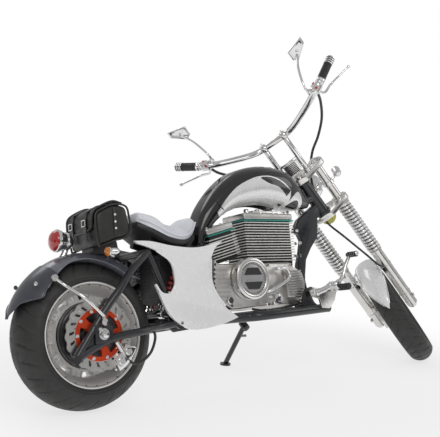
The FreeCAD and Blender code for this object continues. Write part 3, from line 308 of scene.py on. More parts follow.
# Mesh helpers: pieces are drawn in millimetres in a local frame and placed in metres
toMetres = Matrix.Scale(0.001, 4)
outward = Matrix.Rotation(math.radians(90), 4, "X")  # local Z points out to the right
bikeSide = bike @ outward
rearSpin = rearWheel @ outward
frontSpin = frontWheel @ outward


def skin(form, rows, around=True, along=False, caps=False):
    # Faces between rows of points, closed round each row and, where asked, from last to first
    loops = [[form.verts.new(point) for point in row] for row in rows]
    count = len(loops[0])
    pairs = list(zip(loops, loops[1:]))
    if along:
        pairs.append((loops[-1], loops[0]))
    for near, far in pairs:
        for index in range(count if around else count - 1):
            after = (index + 1) % count
            form.faces.new((near[index], near[after], far[after], far[index]))
    if caps:
        form.faces.new(loops[0][::-1])
        form.faces.new(loops[-1])


def lathe(form, profile, steps=96, centre=(0, 0, 0), frame=None):
    # A closed outline of (radius, height) turned about local Z
    rows = []
    for step in range(steps):
        angle = math.tau * step / steps
        row = [Vector((radius * math.cos(angle), radius * math.sin(angle), height)) for radius, height in profile]
        rows.append([frame @ point + Vector(centre) if frame else point + Vector(centre) for point in row])
    skin(form, rows, True, True)


def bendAt(before, start, end, after, t):
    # The bend from start to end, led by their neighbours
    return 0.5 * (2 * start + (end - before) * t + (2 * before - 5 * start + 4 * end - after) * t * t
                  + (3 * start - before - 3 * end + after) * t ** 3)


def smoothPath(points, steps=8):
    # A curve through the points, even in its bends
    points = [Vector(point) for point in points]
    padded = [points[0] * 2 - points[1]] + points + [points[-1] * 2 - points[-2]]
    path = []
    for index in range(1, len(padded) - 2):
        path += [bendAt(*padded[index - 1:index + 3], step / steps) for step in range(steps)]
    path.append(points[-1])
    return path


def tube(form, points, radius, sides=14, steps=8):
    # A round bar along a smooth path, its radius one number or one for each end
    path = smoothPath(points, steps) if len(points) > 2 else [Vector(point) for point in points]
    radii = radius if isinstance(radius, tuple) else (radius, radius)
    heading = (path[1] - path[0]).normalized()
    side = heading.orthogonal().normalized()
    rows = []
    for index, point in enumerate(path):
        ahead = path[min(index + 1, len(path) - 1)] - path[max(index - 1, 0)]
        turned = heading.rotation_difference(ahead.normalized())
        side = turned @ side
        heading = ahead.normalized()
        over = heading.cross(side)
        size = radii[0] + (radii[1] - radii[0]) * index / (len(path) - 1)
        turns = [math.tau * turn / sides for turn in range(sides)]
        rows.append([point + (side * math.cos(turn) + over * math.sin(turn)) * size for turn in turns])
    skin(form, rows, caps=True)


def prism(form, outline, low, high, frame=None):
    # An outline of (x, y) drawn out along local Z
    rows = [[Vector((x, y, height)) for x, y in outline] for height in (low, high)]
    if frame:
        rows = [[frame @ point for point in row] for row in rows]
    skin(form, rows, caps=True)


def block(form, centre, size, frame=None):
    x, y, z = (length / 2 for length in size)
    corners = [(-x, -y), (x, -y), (x, y), (-x, y)]
    turned = (frame or Matrix.Identity(4)).copy()
    turned.translation = Vector(centre)
    prism(form, corners, -z, z, turned)


def soften(form, width, segments=2, angle=32):
    # Rounded edges wherever two faces meet at more than the angle
    bmesh.ops.recalc_face_normals(form, faces=form.faces)
    limit = math.radians(angle)
    edges = [edge for edge in form.edges if len(edge.link_faces) == 2 and edge.calc_face_angle(0) > limit]
    bmesh.ops.bevel(form, geom=edges, offset=width, segments=segments, profile=0.6, affect="EDGES", clamp_overlap=True)


def walled(form, thickness):
    bmesh.ops.recalc_face_normals(form, faces=form.faces)
    bmesh.ops.solidify(form, geom=form.faces[:], thickness=thickness)


def thickened(form, depth):
    drawn = bmesh.ops.extrude_face_region(form, geom=form.faces[:])["geom"]
    bmesh.ops.translate(form, vec=(0, 0, depth), verts=[item for item in drawn if isinstance(item, bmesh.types.BMVert)])


def turnTo(run):
    # Turns local Z along the run
    return run.to_track_quat("Z", "Y").to_matrix()


def facing(side):
    # Turns local Z out to one side of the bike
    return Matrix.Rotation(math.radians(-90 * side), 3, "X")


def onSide(side, points):
    return [(x, side * y, z) for x, y, z in points]


def sheet(form, rows, kept):
    # A grid of faces with some left out
    grid = [[form.verts.new(point) for point in row] for row in rows]
    for j, (near, far) in enumerate(zip(grid, grid[1:])):
        for i in range(len(near) - 1):
            if kept(i, j):
                form.faces.new((near[i], near[i + 1], far[i + 1], far[i]))


def meshOf(form, name):
    mesh = bpy.data.meshes.new(name)
    form.to_mesh(mesh)
    form.free()
    return mesh


def seenMesh(made):
    # The object's mesh with its modifiers applied
    return bpy.data.meshes.new_from_object(made.evaluated_get(bpy.context.evaluated_depsgraph_get()))


def place(name, mesh, body, finish, sharp, replaced):
    mesh.name = name
    mesh.materials.clear()
    mesh.materials.append(finish)
    mesh.shade_smooth()
    mesh.set_sharp_from_angle(angle=math.radians(sharp))
    piece = linked(name, mesh)
    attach(piece, body)
    if replaced:
        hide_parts(*replaced)
    return piece


def finished(name, form, frame, body, finish, sharp=35, replaced=()):
    # The drawn form becomes one object at the origin
    bmesh.ops.transform(form, matrix=frame @ toMetres, verts=form.verts)
    bmesh.ops.remove_doubles(form, verts=form.verts, dist=2e-6)
    bmesh.ops.recalc_face_normals(form, faces=form.faces)
    place(name, meshOf(form, name), body, finish, sharp, replaced)


def bikePart(name, form, finish, replaced=(), sharp=40):
    finished(name, form, bike, "root", finish, sharp, replaced)


def forkPart(name, form, finish, replaced=(), sharp=35):
    finished(name, form, fork, "steering", finish, sharp, replaced)


# Geometry Nodes for what repeats


def newTree(name, sockets):
    # The tree takes the drawn element, these sockets and a finish
    tree = bpy.data.node_groups.new(name, "GeometryNodeTree")
    for label, kind in {"Geometry": "Geometry", **sockets, "Finish": "Material"}.items():
        tree.interface.new_socket(label, in_out="INPUT", socket_type="NodeSocket" + kind)
    tree.interface.new_socket("Geometry", in_out="OUTPUT", socket_type="NodeSocketGeometry")
    return tree, tree.nodes.new("NodeGroupInput").outputs


def realized(tree, instances, given):
    solid = newNode(tree, "GeometryNodeRealizeInstances", {0: instances})
    painted = newNode(tree, "GeometryNodeSetMaterial", {"Geometry": solid, "Material": given["Finish"]})
    newNode(tree, "NodeGroupOutput", {0: painted})
    return tree


def ringTree():
    # Copies turned evenly about local Z
    tree, given = newTree("ringOfCopies", {"Count": "Int"})
    points = newNode(tree, "GeometryNodePoints", {"Count": given["Count"]})
    share = newNode(tree, "ShaderNodeMath", {0: math.tau, 1: given["Count"]}, operation="DIVIDE")
    index = newNode(tree, "GeometryNodeInputIndex", {})
    angle = newNode(tree, "ShaderNodeMath", {0: index, 1: share}, operation="MULTIPLY")
    turn = newNode(tree, "ShaderNodeCombineXYZ", {"Z": angle})
    copies = {"Points": points, "Instance": given["Geometry"], "Rotation": turn}
    return realized(tree, newNode(tree, "GeometryNodeInstanceOnPoints", copies), given)


def rowTree():
    # Copies set off along a line, each by the same step
    tree, given = newTree("rowOfCopies", {"Count": "Int", "Step": "Vector"})
    line = newNode(tree, "GeometryNodeMeshLine", {"Count": given["Count"], "Offset": given["Step"]})
    copies = {"Points": line, "Instance": given["Geometry"]}
    return realized(tree, newNode(tree, "GeometryNodeInstanceOnPoints", copies), given)


def coilTree():
    # A helical spring about local Z, drawn from nothing
    tree, given = newTree("coilSpring", {"Turns": "Float", "Radius": "Float", "Length": "Float", "Wire": "Float"})
    spiral = newNode(tree, "GeometryNodeCurveSpiral", {
        "Resolution": 28, "Rotations": given["Turns"], "Start Radius": given["Radius"], "End Radius": given["Radius"],
        "Height": given["Length"]})
    circle = newNode(tree, "GeometryNodeCurvePrimitiveCircle", {"Resolution": 12, "Radius": given["Wire"]})
    solid = newNode(tree, "GeometryNodeCurveToMesh", {"Curve": spiral, "Profile Curve": circle, "Fill Caps": True})
    return realized(tree, solid, given)


trees = {"ring": ringTree(), "row": rowTree(), "coil": coilTree()}


def repeated(name, form, kind, values, frame, body, finish, sharp=35, replaced=()):
    # One drawn element, repeated by a node tree, becomes one object
    bmesh.ops.recalc_face_normals(form, faces=form.faces)
    carrier = linked(name + "Carrier", meshOf(form, name + "Element"))
    modifier = carrier.modifiers.new("repeat", "NODES")
    modifier.node_group = trees[kind]
    given = {**values, "Finish": finish}
    for item in trees[kind].interface.items_tree:
        if item.item_type == "SOCKET" and item.in_out == "INPUT" and item.name in given:
            modifier[item.identifier] = given[item.name]
    bpy.context.view_layer.update()
    mesh = seenMesh(carrier)
    bpy.data.objects.remove(carrier)
    whole = bmesh.new()
    whole.from_mesh(mesh)
    bpy.data.meshes.remove(mesh)
    finished(name, whole, frame, body, finish, sharp, replaced)


print("helpers ready")

# Wheels

tyres = {
    "rear": {"radius": 265, "half": 95, "crown": 106, "bead": 178, "rimHalf": 86, "pitches": 26, "depth": 4.0,
             "from": 26, "to": 88, "sweep": 0.62, "width": 0.075},
    "front": {"radius": 272, "half": 56, "crown": 62.7, "bead": 203, "rimHalf": 42, "pitches": 32, "depth": 3.2,
              "from": 8, "to": 50, "sweep": 0.80, "width": 0.085},
}


# Share of the way down the sidewall and its width there; 0.0 stands for the rim's own width
sidewall = [(0.12, 1.0), (0.20, 1.0), (0.24, 0.985), (0.30, 1.0), (0.46, 0.998), (0.50, 0.98), (0.55, 0.99),
            (0.75, 0.965), (1.0, 0.0)]


def tyreSection(size):
    # Half the cross-section from the crown down the sidewall to the bead, as (radius, out)
    reach = size["half"]
    section = []
    for step in range(21):
        out = reach * step / 20 * 0.985
        section.append((size["radius"] - size["crown"] + math.sqrt(size["crown"] ** 2 - out ** 2), out))
    low = section[-1][0]
    bead = size["bead"]
    for share, swell in sidewall:
        out = reach * swell if swell else size["rimHalf"] + 1
        section.append((low + (bead - low) * share, out))
    section.append((bead - 4, size["rimHalf"] - 8))
    return section


def tyrePiece(name, size, frame, body, replaced):
    half = tyreSection(size)
    section = [(radius, -out) for radius, out in half[::-1]] + half[1:]
    steps = 22
    rows = []
    for step in range(steps + 1):
        share = step / steps
        angle = math.tau / size["pitches"] * share
        row = []
        for radius, out in section:
            across = (abs(out) - size["from"]) / (size["to"] - size["from"])
            depth = 0.0
            if 0 <= across <= 1 and radius > size["radius"] - size["crown"]:
                shift = 0.5 if out < 0 else 0.0
                middle = (0.12 + size["sweep"] * across ** 1.4 + shift) % 1.0
                gap = abs((share - middle + 0.5) % 1.0 - 0.5)
                edge = min(1.0, across * 6, (1 - across) * 5)
                depth = size["depth"] * edge * max(0.0, min(1.0, (size["width"] - gap) / 0.03))
            reach = radius - depth
            row.append(Vector((reach * math.cos(angle), reach * math.sin(angle), out)))
        rows.append(row)
    form = bmesh.new()
    skin(form, rows, True)
    repeated(name, form, "ring", {"Count": size["pitches"]}, frame, body, rubber, 40, replaced)


tyrePiece("rearTyre", tyres["rear"], rearSpin, "rear_wheel", ["rear_tyre"])
tyrePiece("frontTyre", tyres["front"], frontSpin, "front_wheel", ["front_tyre"])
print("tyres made")

rearRim = {
    "bead": 177.8, "half": 86, "lip": 14.7, "wall": 9, "hub": 119, "spokes": 10, "spokeHalf": 25, "depth": 30, "rib": 6,
    # Ribs across one spoke: share of its half width, and whether the rib stands there
    "ribs": [(-1, 0), (-0.9, 1), (-0.78, 1), (-0.7, 0), (-0.16, 0), (-0.1, 1), (0.1, 1), (0.16, 0), (0.7, 0), (0.78, 1),
             (0.9, 1), (1, 0)],
}


def rearRimPieces(size):
    bead, half, lip, wall = (size[key] for key in ("bead", "half", "lip", "wall"))
    well = bead - 20
    barrel = bmesh.new()
    profile = [(bead + lip, half + 6), (bead + lip + 2, half + 3), (bead + lip, half), (bead + 2, half - 1),
               (bead, half - 12), (bead - 3, half - 26), (well + 3, half - 38), (well, half - 46), (well, -half + 46),
               (well + 3, -half + 38), (bead - 3, -half + 26), (bead, -half + 12), (bead + 2, -half + 1),
               (bead + lip, -half), (bead + lip + 2, -half - 3), (bead + lip, -half - 6), (bead + 5, -half - 6),
               (bead - wall, -half + 10), (bead - wall - 4, -half + 30), (well - wall, -half + 50),
               (well - wall, half - 50), (bead - wall - 4, half - 30), (bead - wall, half - 10), (bead + 5, half + 6)]
    lathe(barrel, profile, 144)
    lathe(barrel, [(size["hub"], -34), (size["hub"] + 9, -34), (size["hub"] + 9, 34), (size["hub"], 34)], 120)
    finished("rearRimBarrel", barrel, rearSpin, "rear_wheel", rimSilver, 30, ["rear_rim"])
    spoke = bmesh.new()
    near, far = size["hub"] + 4, well - wall + 3
    stations = []
    for step in range(7):
        share = step / 6
        x = near + (far - near) * share
        flare = size["spokeHalf"] * (0.86 + 0.55 * abs(share - 0.42) ** 1.6)
        section = []
        for at, up in size["ribs"]:
            section.append(Vector((x, flare * at, size["depth"] - 6 + size["rib"] * up)))
        section += [Vector((x, flare, -size["depth"])), Vector((x, -flare, -size["depth"]))]
        stations.append(section)
    skin(spoke, stations, caps=True)
    soften(spoke, 1.2, 1, 40)
    repeated("rearSpokes", spoke, "ring", {"Count": size["spokes"]}, rearSpin, "rear_wheel", rimSilver, 30)


rearRimPieces(rearRim)

hub = {"drum": 117, "half": 62, "face": 100}


def rearHubPiece(size):
    drum = bmesh.new()
    half, face, radius = size["half"], size["face"], size["drum"]
    side = [(radius, half - 8), (radius - 3, half - 3), (radius - 10, half), (radius - 22, half + 1),
            (radius - 26, half + 4), (82, half + 8), (64, face - 22), (44, face - 14), (40, face - 6), (22, face - 2),
            (20, face), (0.001, face)]
    lathe(drum, side + [(r, -z) for r, z in side[::-1]], 120)
    finished("rearHub", drum, rearSpin, "rear_wheel", blackPaint, 30, ["hub_motor"])


rearHubPiece(hub)

discs = {
    "rear": {"outer": 130, "inner": 88, "waves": 20, "thick": 5, "out": 124, "wave": 2.6},
    "front": {"outer": 120, "inner": 84, "waves": 18, "thick": 5, "out": -54, "wave": 2.2},
}


def discPiece(name, size, frame, body, replaced):
    # One wave of the disc, drawn as a grid with its slanted slot left out
    around, across = 14, 10
    middle = around // 2
    angle = math.tau / size["waves"]
    rows = []
    for j in range(across + 1):
        share = j / across
        lean = angle * 0.22 * math.sin(math.pi * share)
        row = []
        for i in range(around + 1):
            turn = angle * i / around + lean
            outer = size["outer"] - size["wave"] * (1 - math.cos(math.tau * i / around))
            radius = size["inner"] + (outer - size["inner"]) * share
            row.append((radius * math.cos(turn), radius * math.sin(turn), size["out"]))
        rows.append(row)
    form = bmesh.new()
    sheet(form, rows, lambda i, j: not (2 <= j <= across - 4 and middle - 2 <= i - (j - 4) // 2 <= middle + 1))
    thickened(form, size["thick"] if size["out"] > 0 else -size["thick"])
    repeated(name, form, "ring", {"Count": size["waves"]}, frame, body, steelDisc, 30, replaced)


discPiece("rearDisc", discs["rear"], rearSpin, "rear_wheel", ["rear_disc"])
discPiece("frontDisc", discs["front"], frontSpin, "front_wheel", ["front_disc"])

carrier = {
    "outer": 92, "inner": 30, "windows": 5, "low": 116, "high": 126, "dish": 4, "boltRing": 84, "bolts": 10,
    "bolt": [(0.001, 132), (5.5, 132), (7.5, 129), (7.5, 124), (0.001, 124)],
    "cap": [(0.001, 136), (12, 136), (15, 133), (22, 130), (28, 130), (31, 127), (31, 116), (0.001, 116)],
}


def carrierPieces(size):
    around, across = 16, 8
    angle = math.tau / size["windows"]
    rows = []
    for j in range(across + 1):
        radius = size["inner"] + (size["outer"] - size["inner"]) * j / across
        height = size["low"] + size["dish"] - size["dish"] * j / across
        rows.append([(radius * math.cos(angle * i / around), radius * math.sin(angle * i / around), height)
                     for i in range(around + 1)])
    form = bmesh.new()
    sheet(form, rows, lambda i, j: not (2 <= j <= 5 and 3 + (j < 3) <= i <= around - 4 - (j < 3)))
    thickened(form, size["high"] - size["low"] + size["dish"])
    repeated("discCarrier", form, "ring", {"Count": size["windows"]}, rearSpin, "rear_wheel", orangeAnodised, 30)
    bolt = bmesh.new()
    lathe(bolt, size["bolt"], 16, (size["boltRing"], 0, 0))
    repeated("discBolts", bolt, "ring", {"Count": size["bolts"]}, rearSpin, "rear_wheel", chrome, 30)
    cap = bmesh.new()
    lathe(cap, size["cap"], 48)
    finished("hubCap", cap, rearSpin, "rear_wheel", blackPaint, 30)


carrierPieces(carrier)
print("rear wheel made")

# Tank, seat, covers, fender and bag, in the bike's frame


def blended(stations, steps):
    # Numbers between the stations, even in their bends
    padded = [stations[0]] + list(stations) + [stations[-1]]
    rows = []
    for index in range(1, len(padded) - 2):
        rows += [[bendAt(*near, step / steps) for near in zip(*padded[index - 1:index + 3])] for step in range(steps)]
    rows.append(list(stations[-1]))
    return rows


def stationLoops(stations, steps=6, bend=7, dome=0.0):
    # Rounded sections along the side view: centre, slope, half height, half width and corner
    loops = []
    rows = [(row, 1.0, 0.0) for row in blended(stations, steps)]
    if dome:
        ends = [(0.45, 1.0), (0.72, 0.84), (0.90, 0.56), (0.98, 0.28)]
        rows = ([(rows[0][0], scale, -dome * out) for scale, out in ends] + rows
                + [(rows[-1][0], scale, dome * out) for scale, out in ends[::-1]])
    for (x, z, slope, halfHeight, halfWidth, corner), scale, out in rows:
        lean = math.radians(slope)
        up = Vector((-math.sin(lean), 0, math.cos(lean)))
        ahead = Vector((math.cos(lean), 0, math.sin(lean)))
        middle = Vector((x, 0, z)) + ahead * out
        loop = []
        for quarter, (sideways, upright) in enumerate(((1, 1), (-1, 1), (-1, -1), (1, -1))):
            pivot = Vector((0, sideways * (halfWidth - corner), 0)) + up * (upright * (halfHeight - corner))
            for step in range(bend):
                angle = math.pi / 2 * (quarter + step / (bend - 1))
                arm = Vector((0, math.cos(angle), 0)) + up * math.sin(angle)
                loop.append(middle + (pivot + arm * corner) * scale)
        loops.append(loop)
    return loops


tank = {
    "stations": [(528, 590, 80, 21, 48, 19), (546, 650, 68, 29, 54, 26), (588, 714, 50, 42, 64, 38),
                 (668, 786, 34, 56, 76, 52), (760, 830, 18, 73, 90, 62), (862, 846, 4, 80, 98, 68),
                 (966, 836, -8, 83, 94, 68), (1046, 818, 6, 78, 76, 58), (1124, 804, 30, 58, 40, 34)],
    "panelHigh": [(604, 716), (655, 780), (714, 830), (800, 866), (880, 872), (945, 852), (992, 818)],
    "panelLow": [(612, 700), (705, 735), (751, 748), (824, 758), (889, 754), (954, 740), (987, 742)],
    "swooshHigh": [(826, 866), (876, 868), (930, 852), (990, 816)],
    "swooshLow": [(824, 860), (868, 840), (918, 828), (966, 792)],
    "finHigh": [(972, 750), (1010, 794), (1046, 814), (1072, 788), (1080, 736)],
    "finLow": [(970, 744), (1006, 770), (1040, 776), (1060, 748), (1070, 724)],
    "panelLift": 3.0, "swooshLift": 4.0, "finLift": 2.5, "seam": [(604, 66, 762), (616, 72, 742), (632, 72, 726)],
    "cap": [(0.001, 10), (22, 10), (27, 7), (29, 2), (31, -12), (0.001, -12)], "capAt": (940, 0, 921), "capLean": -4,
}


def draped(form, surface, low, high, lift, steps=40, across=8, thick=3.0, far=400):
    # A panel between two side-view paths, laid on a surface from both sides
    lowPath = smoothPath([(x, 0, z) for x, z in low], 12)
    highPath = smoothPath([(x, 0, z) for x, z in high], 12)
    for side in (-1, 1):
        grid = []
        for step in range(steps + 1):
            share = step / steps
            start = lowPath[round(share * (len(lowPath) - 1))]
            end = highPath[round(share * (len(highPath) - 1))]
            row = []
            for part in range(across + 1):
                point = start.lerp(end, part / across)
                hit, normal = surface.ray_cast(Vector((point.x, side * far, point.z)), Vector((0, -side, 0)))[:2]
                if hit is None:
                    hit, normal = Vector((point.x, side * 30, point.z)), Vector((0, side, 0))
                if normal.y * side < 0:
                    normal = -normal
                row.append((hit + normal * lift, hit + normal * (lift - thick)))
            grid.append(row)
        rows = [[outer for outer, inner in row] + [inner for outer, inner in row[::-1]] for row in grid]
        skin(form, rows, caps=True)


def surfaceOf(form):
    form.normal_update()
    return BVHTree.FromBMesh(form)


def tankPieces(size):
    form = bmesh.new()
    skin(form, stationLoops(size["stations"], 8, 9, 14), caps=True)
    surface = surfaceOf(form)
    bikePart("tankShell", form, tankPaint, ["tank_shell"], sharp=50)
    for name, key, finish, replaced in (
            ("tankPanels", "panel", panelSilver, ["tank_panels"]), ("tankSwooshes", "swoosh", tankPaint, []),
            ("tankFins", "fin", panelSilver, [])):
        panel = bmesh.new()
        draped(panel, surface, size[key + "Low"], size[key + "High"], size[key + "Lift"])
        bikePart(name, panel, finish, replaced, sharp=50)
    seam = bmesh.new()
    for side in (-1, 1):
        tube(seam, onSide(side, size["seam"]), 1.6, 8)
    bikePart("tankSeam", seam, blackPlastic, sharp=50)
    cap = bmesh.new()
    lathe(cap, size["cap"], 40, size["capAt"], Matrix.Rotation(math.radians(size["capLean"]), 3, "Y"))
    bikePart("tankCap", cap, chrome)


tankPieces(tank)
print("tank made")

cushion = {
    "stations": [(214, 688, -16, 21, 90, 17), (262, 664, -24, 27, 115, 21), (326, 629, -20, 26, 125, 21),
                 (392, 619, 4, 25, 115, 21), (448, 641, 30, 26, 86, 21), (488, 678, 44, 21, 56, 17)],
    "pan": [(208, 660, -16, 12, 88, 10), (262, 636, -24, 13, 112, 11), (324, 601, -20, 14, 121, 11),
            (390, 590, 4, 14, 112, 11), (446, 606, 24, 14, 80, 11), (482, 632, 40, 12, 52, 10)],
    "heldBelow": 9, "piping": 3.2, "pipingOut": 5, "pipingDown": 6,
    "voxel": 0.006, "pressure": 4.0, "cap": 0.009,  # metres, cloth pressure, largest shift in metres
}
bag = {
    "middle": (92, 0, 658),
    "side": [(30, 574), (20, 630), (21, 690), (48, 712), (98, 730), (146, 724), (158, 690), (162, 626), (132, 606),
             (96, 598)],
    "across": [(-114, 0.80), (-110, 0.90), (-98, 0.97), (-60, 1.0), (0, 0.985), (60, 1.0), (98, 0.97), (110, 0.90),
               (114, 0.80)],
    "pad": [(40, 552), (40, 596), (110, 606), (140, 602), (150, 536), (96, 556)],
    "flap": [(136, 0, 734), (98, 0, 741), (50, 0, 723), (18, 0, 700), (11, 0, 668), (13, 0, 636)],
    "edge": [(136, 101, 735), (98, 101, 742), (50, 101, 724), (18, 101, 701), (11, 98, 668), (11, 90, 644),
             (12, 60, 636)],
    "strap": [(120, 744), (60, 730), (14, 705), (7, 668), (8, 632), (14, 600)], "strapsAt": (-52, 52),
    "voxel": 0.006, "pressure": 4.0, "cap": 0.006,
}
clothFrames = 20
clothSettings = {
    "quality": 5, "mass": 0.25, "tension_stiffness": 20, "compression_stiffness": 20, "bending_stiffness": 2.0,
    "use_pressure": True, "vertex_group_mass": "held",
}


def puffed(name, form, frame, size, held):
    # A closed cover blown up softly; the points that held names stay where they are
    bmesh.ops.transform(form, matrix=frame @ toMetres, verts=form.verts)
    bmesh.ops.recalc_face_normals(form, faces=form.faces)
    cover = linked(name + "Cover", meshOf(form, name + "Cover"))
    remesh = cover.modifiers.new("even", "REMESH")
    remesh.mode = "VOXEL"
    remesh.voxel_size = size["voxel"]
    bpy.context.view_layer.update()
    even = seenMesh(cover)
    cover.modifiers.clear()
    cover.data = even
    rest = [vertex.co.copy() for vertex in even.vertices]
    moved = rest
    group = cover.vertex_groups.new(name="held")
    back = (frame @ toMetres).inverted()
    for index, point in enumerate(rest):
        weight = held(back @ point)
        if weight > 0:
            group.add([index], weight, "REPLACE")
    cloth = cover.modifiers.new("cloth", "CLOTH")
    for key, value in clothSettings.items():
        setattr(cloth.settings, key, value)
    cloth.settings.uniform_pressure_force = size["pressure"]
    cloth.settings.effector_weights.gravity = 0
    cloth.collision_settings.use_collision = False
    cloth.point_cache.frame_end = clothFrames
    for step in range(1, clothFrames + 1):
        bpy.context.scene.frame_set(step)
    seen = seenMesh(cover)
    moved = []
    for start, vertex in zip(rest, seen.vertices):
        shift = vertex.co - start
        if shift.length > size["cap"]:
            shift *= size["cap"] / shift.length
        moved.append(start + shift)
    bpy.context.scene.frame_set(1)
    cover.modifiers.clear()
    soft = bmesh.new()
    soft.from_mesh(even)
    for vertex, point in zip(soft.verts, moved):
        vertex.co = point
    bmesh.ops.smooth_vert(soft, verts=soft.verts, factor=0.5, use_axis_x=True, use_axis_y=True, use_axis_z=True)
    bpy.data.objects.remove(cover)
    return soft


def softPiece(name, soft, body, finish, replaced):
    # The blown cover, once subdivided, as one object
    carrier = linked(name + "Carrier", meshOf(soft, name))
    finer = carrier.modifiers.new("finer", "SUBSURF")
    finer.levels = 1
    finer.render_levels = 1
    bpy.context.view_layer.update()
    smooth = seenMesh(carrier)
    bpy.data.objects.remove(carrier)
    place(name, smooth, body, finish, 180, replaced)


def seatPieces(size):
    form = bmesh.new()
    skin(form, stationLoops(size["stations"], 5, 6, 10), caps=True)

    def held(point):
        # The underside and the piping line stay on the pan
        rows = size["stations"]
        x = min(max(point.x, rows[0][0]), rows[-1][0])
        index = max(i for i in range(len(rows) - 1) if rows[i][0] <= x or i == 0)
        share = (x - rows[index][0]) / (rows[index + 1][0] - rows[index][0])
        middle = rows[index][1] + (rows[index + 1][1] - rows[index][1]) * share
        return 1.0 if point.z < middle - size["heldBelow"] else 0.0

    soft = puffed("seatCushion", form, bike, size, held)
    softPiece("seatCushion", soft, "root", seatVinyl, ["seat_cushion"])
    pan = bmesh.new()
    skin(pan, stationLoops(size["pan"], 6, 6, 6), caps=True)
    bikePart("seatPan", pan, blackPlastic, ["seat_base"], sharp=50)
    piping = bmesh.new()
    for side in (-1, 1):
        line = []
        for x, z, slope, _, halfWidth, _ in size["stations"]:
            lean, down = math.radians(slope), size["pipingDown"]
            line.append((x + math.sin(lean) * down, side * (halfWidth + size["pipingOut"]), z - math.cos(lean) * down))
        tube(piping, line, size["piping"], 10)
    bikePart("seatPiping", piping, seatVinyl, sharp=50)


seatPieces(cushion)
print("seat made")


def bagPieces(size):
    middle = Vector(size["middle"])
    form = bmesh.new()
    closed = smoothPath([(x, 0, z) for x, z in size["side"] + size["side"][:1]], 4)[:-1]
    rows = []
    for y, scale in size["across"]:
        rows.append([Vector((middle.x + (point.x - middle.x) * scale, y, middle.z + (point.z - middle.z) * scale))
                     for point in closed])
    skin(form, rows, caps=True)

    def held(point):
        # The pad under the bag and the sewn edges of both end panels
        edge = abs(abs(point.y) - 104) < 5
        return 1.0 if point.z < 600 or edge else 0.0

    soft = puffed("tailBag", form, bike, size, held)
    softPiece("tailBag", soft, "root", bagLeather, ["tail_bag"])
    pad = bmesh.new()
    prism(pad, size["pad"], -46, 46, outward)
    soften(pad, 4)
    bikePart("bagPad", pad, bagLeather)
    flap = bmesh.new()
    path = smoothPath(size["flap"], 6)
    rows = []
    for share in range(17):
        # The corners of the flap are cut shorter
        y = -100 + 200 * share / 16
        count = len(path) if abs(y) < 84 else round(len(path) * 0.86)
        row = [Vector((point.x, y, point.z)) for point in path]
        rows.append(row[:count] + [row[count - 1]] * (len(row) - count))
    skin(flap, rows, False)
    bmesh.ops.remove_doubles(flap, verts=flap.verts, dist=0.01)
    walled(flap, 3.5)
    bikePart("bagFlap", flap, bagLeather, sharp=50)
    trim = bmesh.new()
    tube(trim, onSide(-1, size["edge"]) + [(12, 0, 634)] + size["edge"][::-1], 4.2, 8)
    for side in (-1, 1):
        ring = [(point.x + 2, side * 108, point.z) for point in closed[::2]]
        tube(trim, ring + ring[:1], 4.0, 8)
        tube(trim, [(96, side * 113, 612), (94, side * 118, 660), (96, side * 113, 716)], 5.0, 8)
    bikePart("bagTrim", trim, bagTrimLeather, sharp=50)
    straps = bmesh.new()
    for y in size["strapsAt"]:
        for low, high in zip(size["strap"], size["strap"][1:]):
            run = Vector((high[0] - low[0], 0, high[1] - low[1]))
            frame = placeOf(run.normalized(), Vector((0, 1, 0)), run.normalized().cross(Vector((0, 1, 0))), (0, 0, 0))
            block(straps, ((low[0] + high[0]) / 2, y, (low[1] + high[1]) / 2), (run.length + 4, 20, 3), frame)
    bikePart("bagStraps", straps, bagTrimLeather)
    metal = bmesh.new()
    for y in size["strapsAt"]:
        for z in (676, 654):
            tube(metal, [(2, y - 13, z), (2, y + 13, z)], 2.2, 8)
        for shift in (-13, 13):
            tube(metal, [(2, y + shift, 676), (2, y + shift, 654)], 2.2, 8)
    for x, z in ((96, 640), (95, 664), (95, 690)):
        lathe(metal, [(0.001, 5), (3, 4.6), (5, 2.5), (5.6, 0), (0.001, 0)], 16, (x, -121, z), facing(-1))
    bikePart("bagBuckles", metal, chrome)


bagTrimLeather = metalFinish("bagTrimLeather", (0.034, 0.032, 0.031), (0.016, 0.015, 0.014), 0.34, 0.7, 300,
                             metallic=0.0)
bagPieces(bag)
print("bag made")

fender = {
    "centre": (14, 262), "radius": 302, "crown": 110, "deepest": 68, "thick": 3.5,
    "sheet": (44, 136), "flap": (122, 165),
    "edge": [(42, 286), (49.2, 269), (60.1, 249), (70.8, 255), (86, 270), (97.1, 276), (109.1, 275), (128.7, 256),
             (144.7, 242), (154.1, 290), (160.7, 300), (166, 304.9)],
}


def fenderRow(size, angle, radius):
    angles, lows = zip(*size["edge"])
    low = lows[-1]
    for start, end, lowStart, lowEnd in zip(angles, angles[1:], lows, lows[1:]):
        if start <= angle <= end:
            low = lowStart + (lowEnd - lowStart) * (angle - start) / (end - start)
    drop = min(max(size["radius"] - low, 0.1), size["deepest"])
    reach = math.sqrt(size["crown"] ** 2 - (size["crown"] - drop) ** 2)
    turn = math.radians(angle)
    row = []
    for step in range(29):
        out = reach * math.sin(math.pi / 2 * (step - 14) / 14)
        r = radius - (size["crown"] - math.sqrt(size["crown"] ** 2 - out ** 2))
        row.append(Vector((size["centre"][0] + r * math.cos(turn), out, size["centre"][1] + r * math.sin(turn))))
    return row


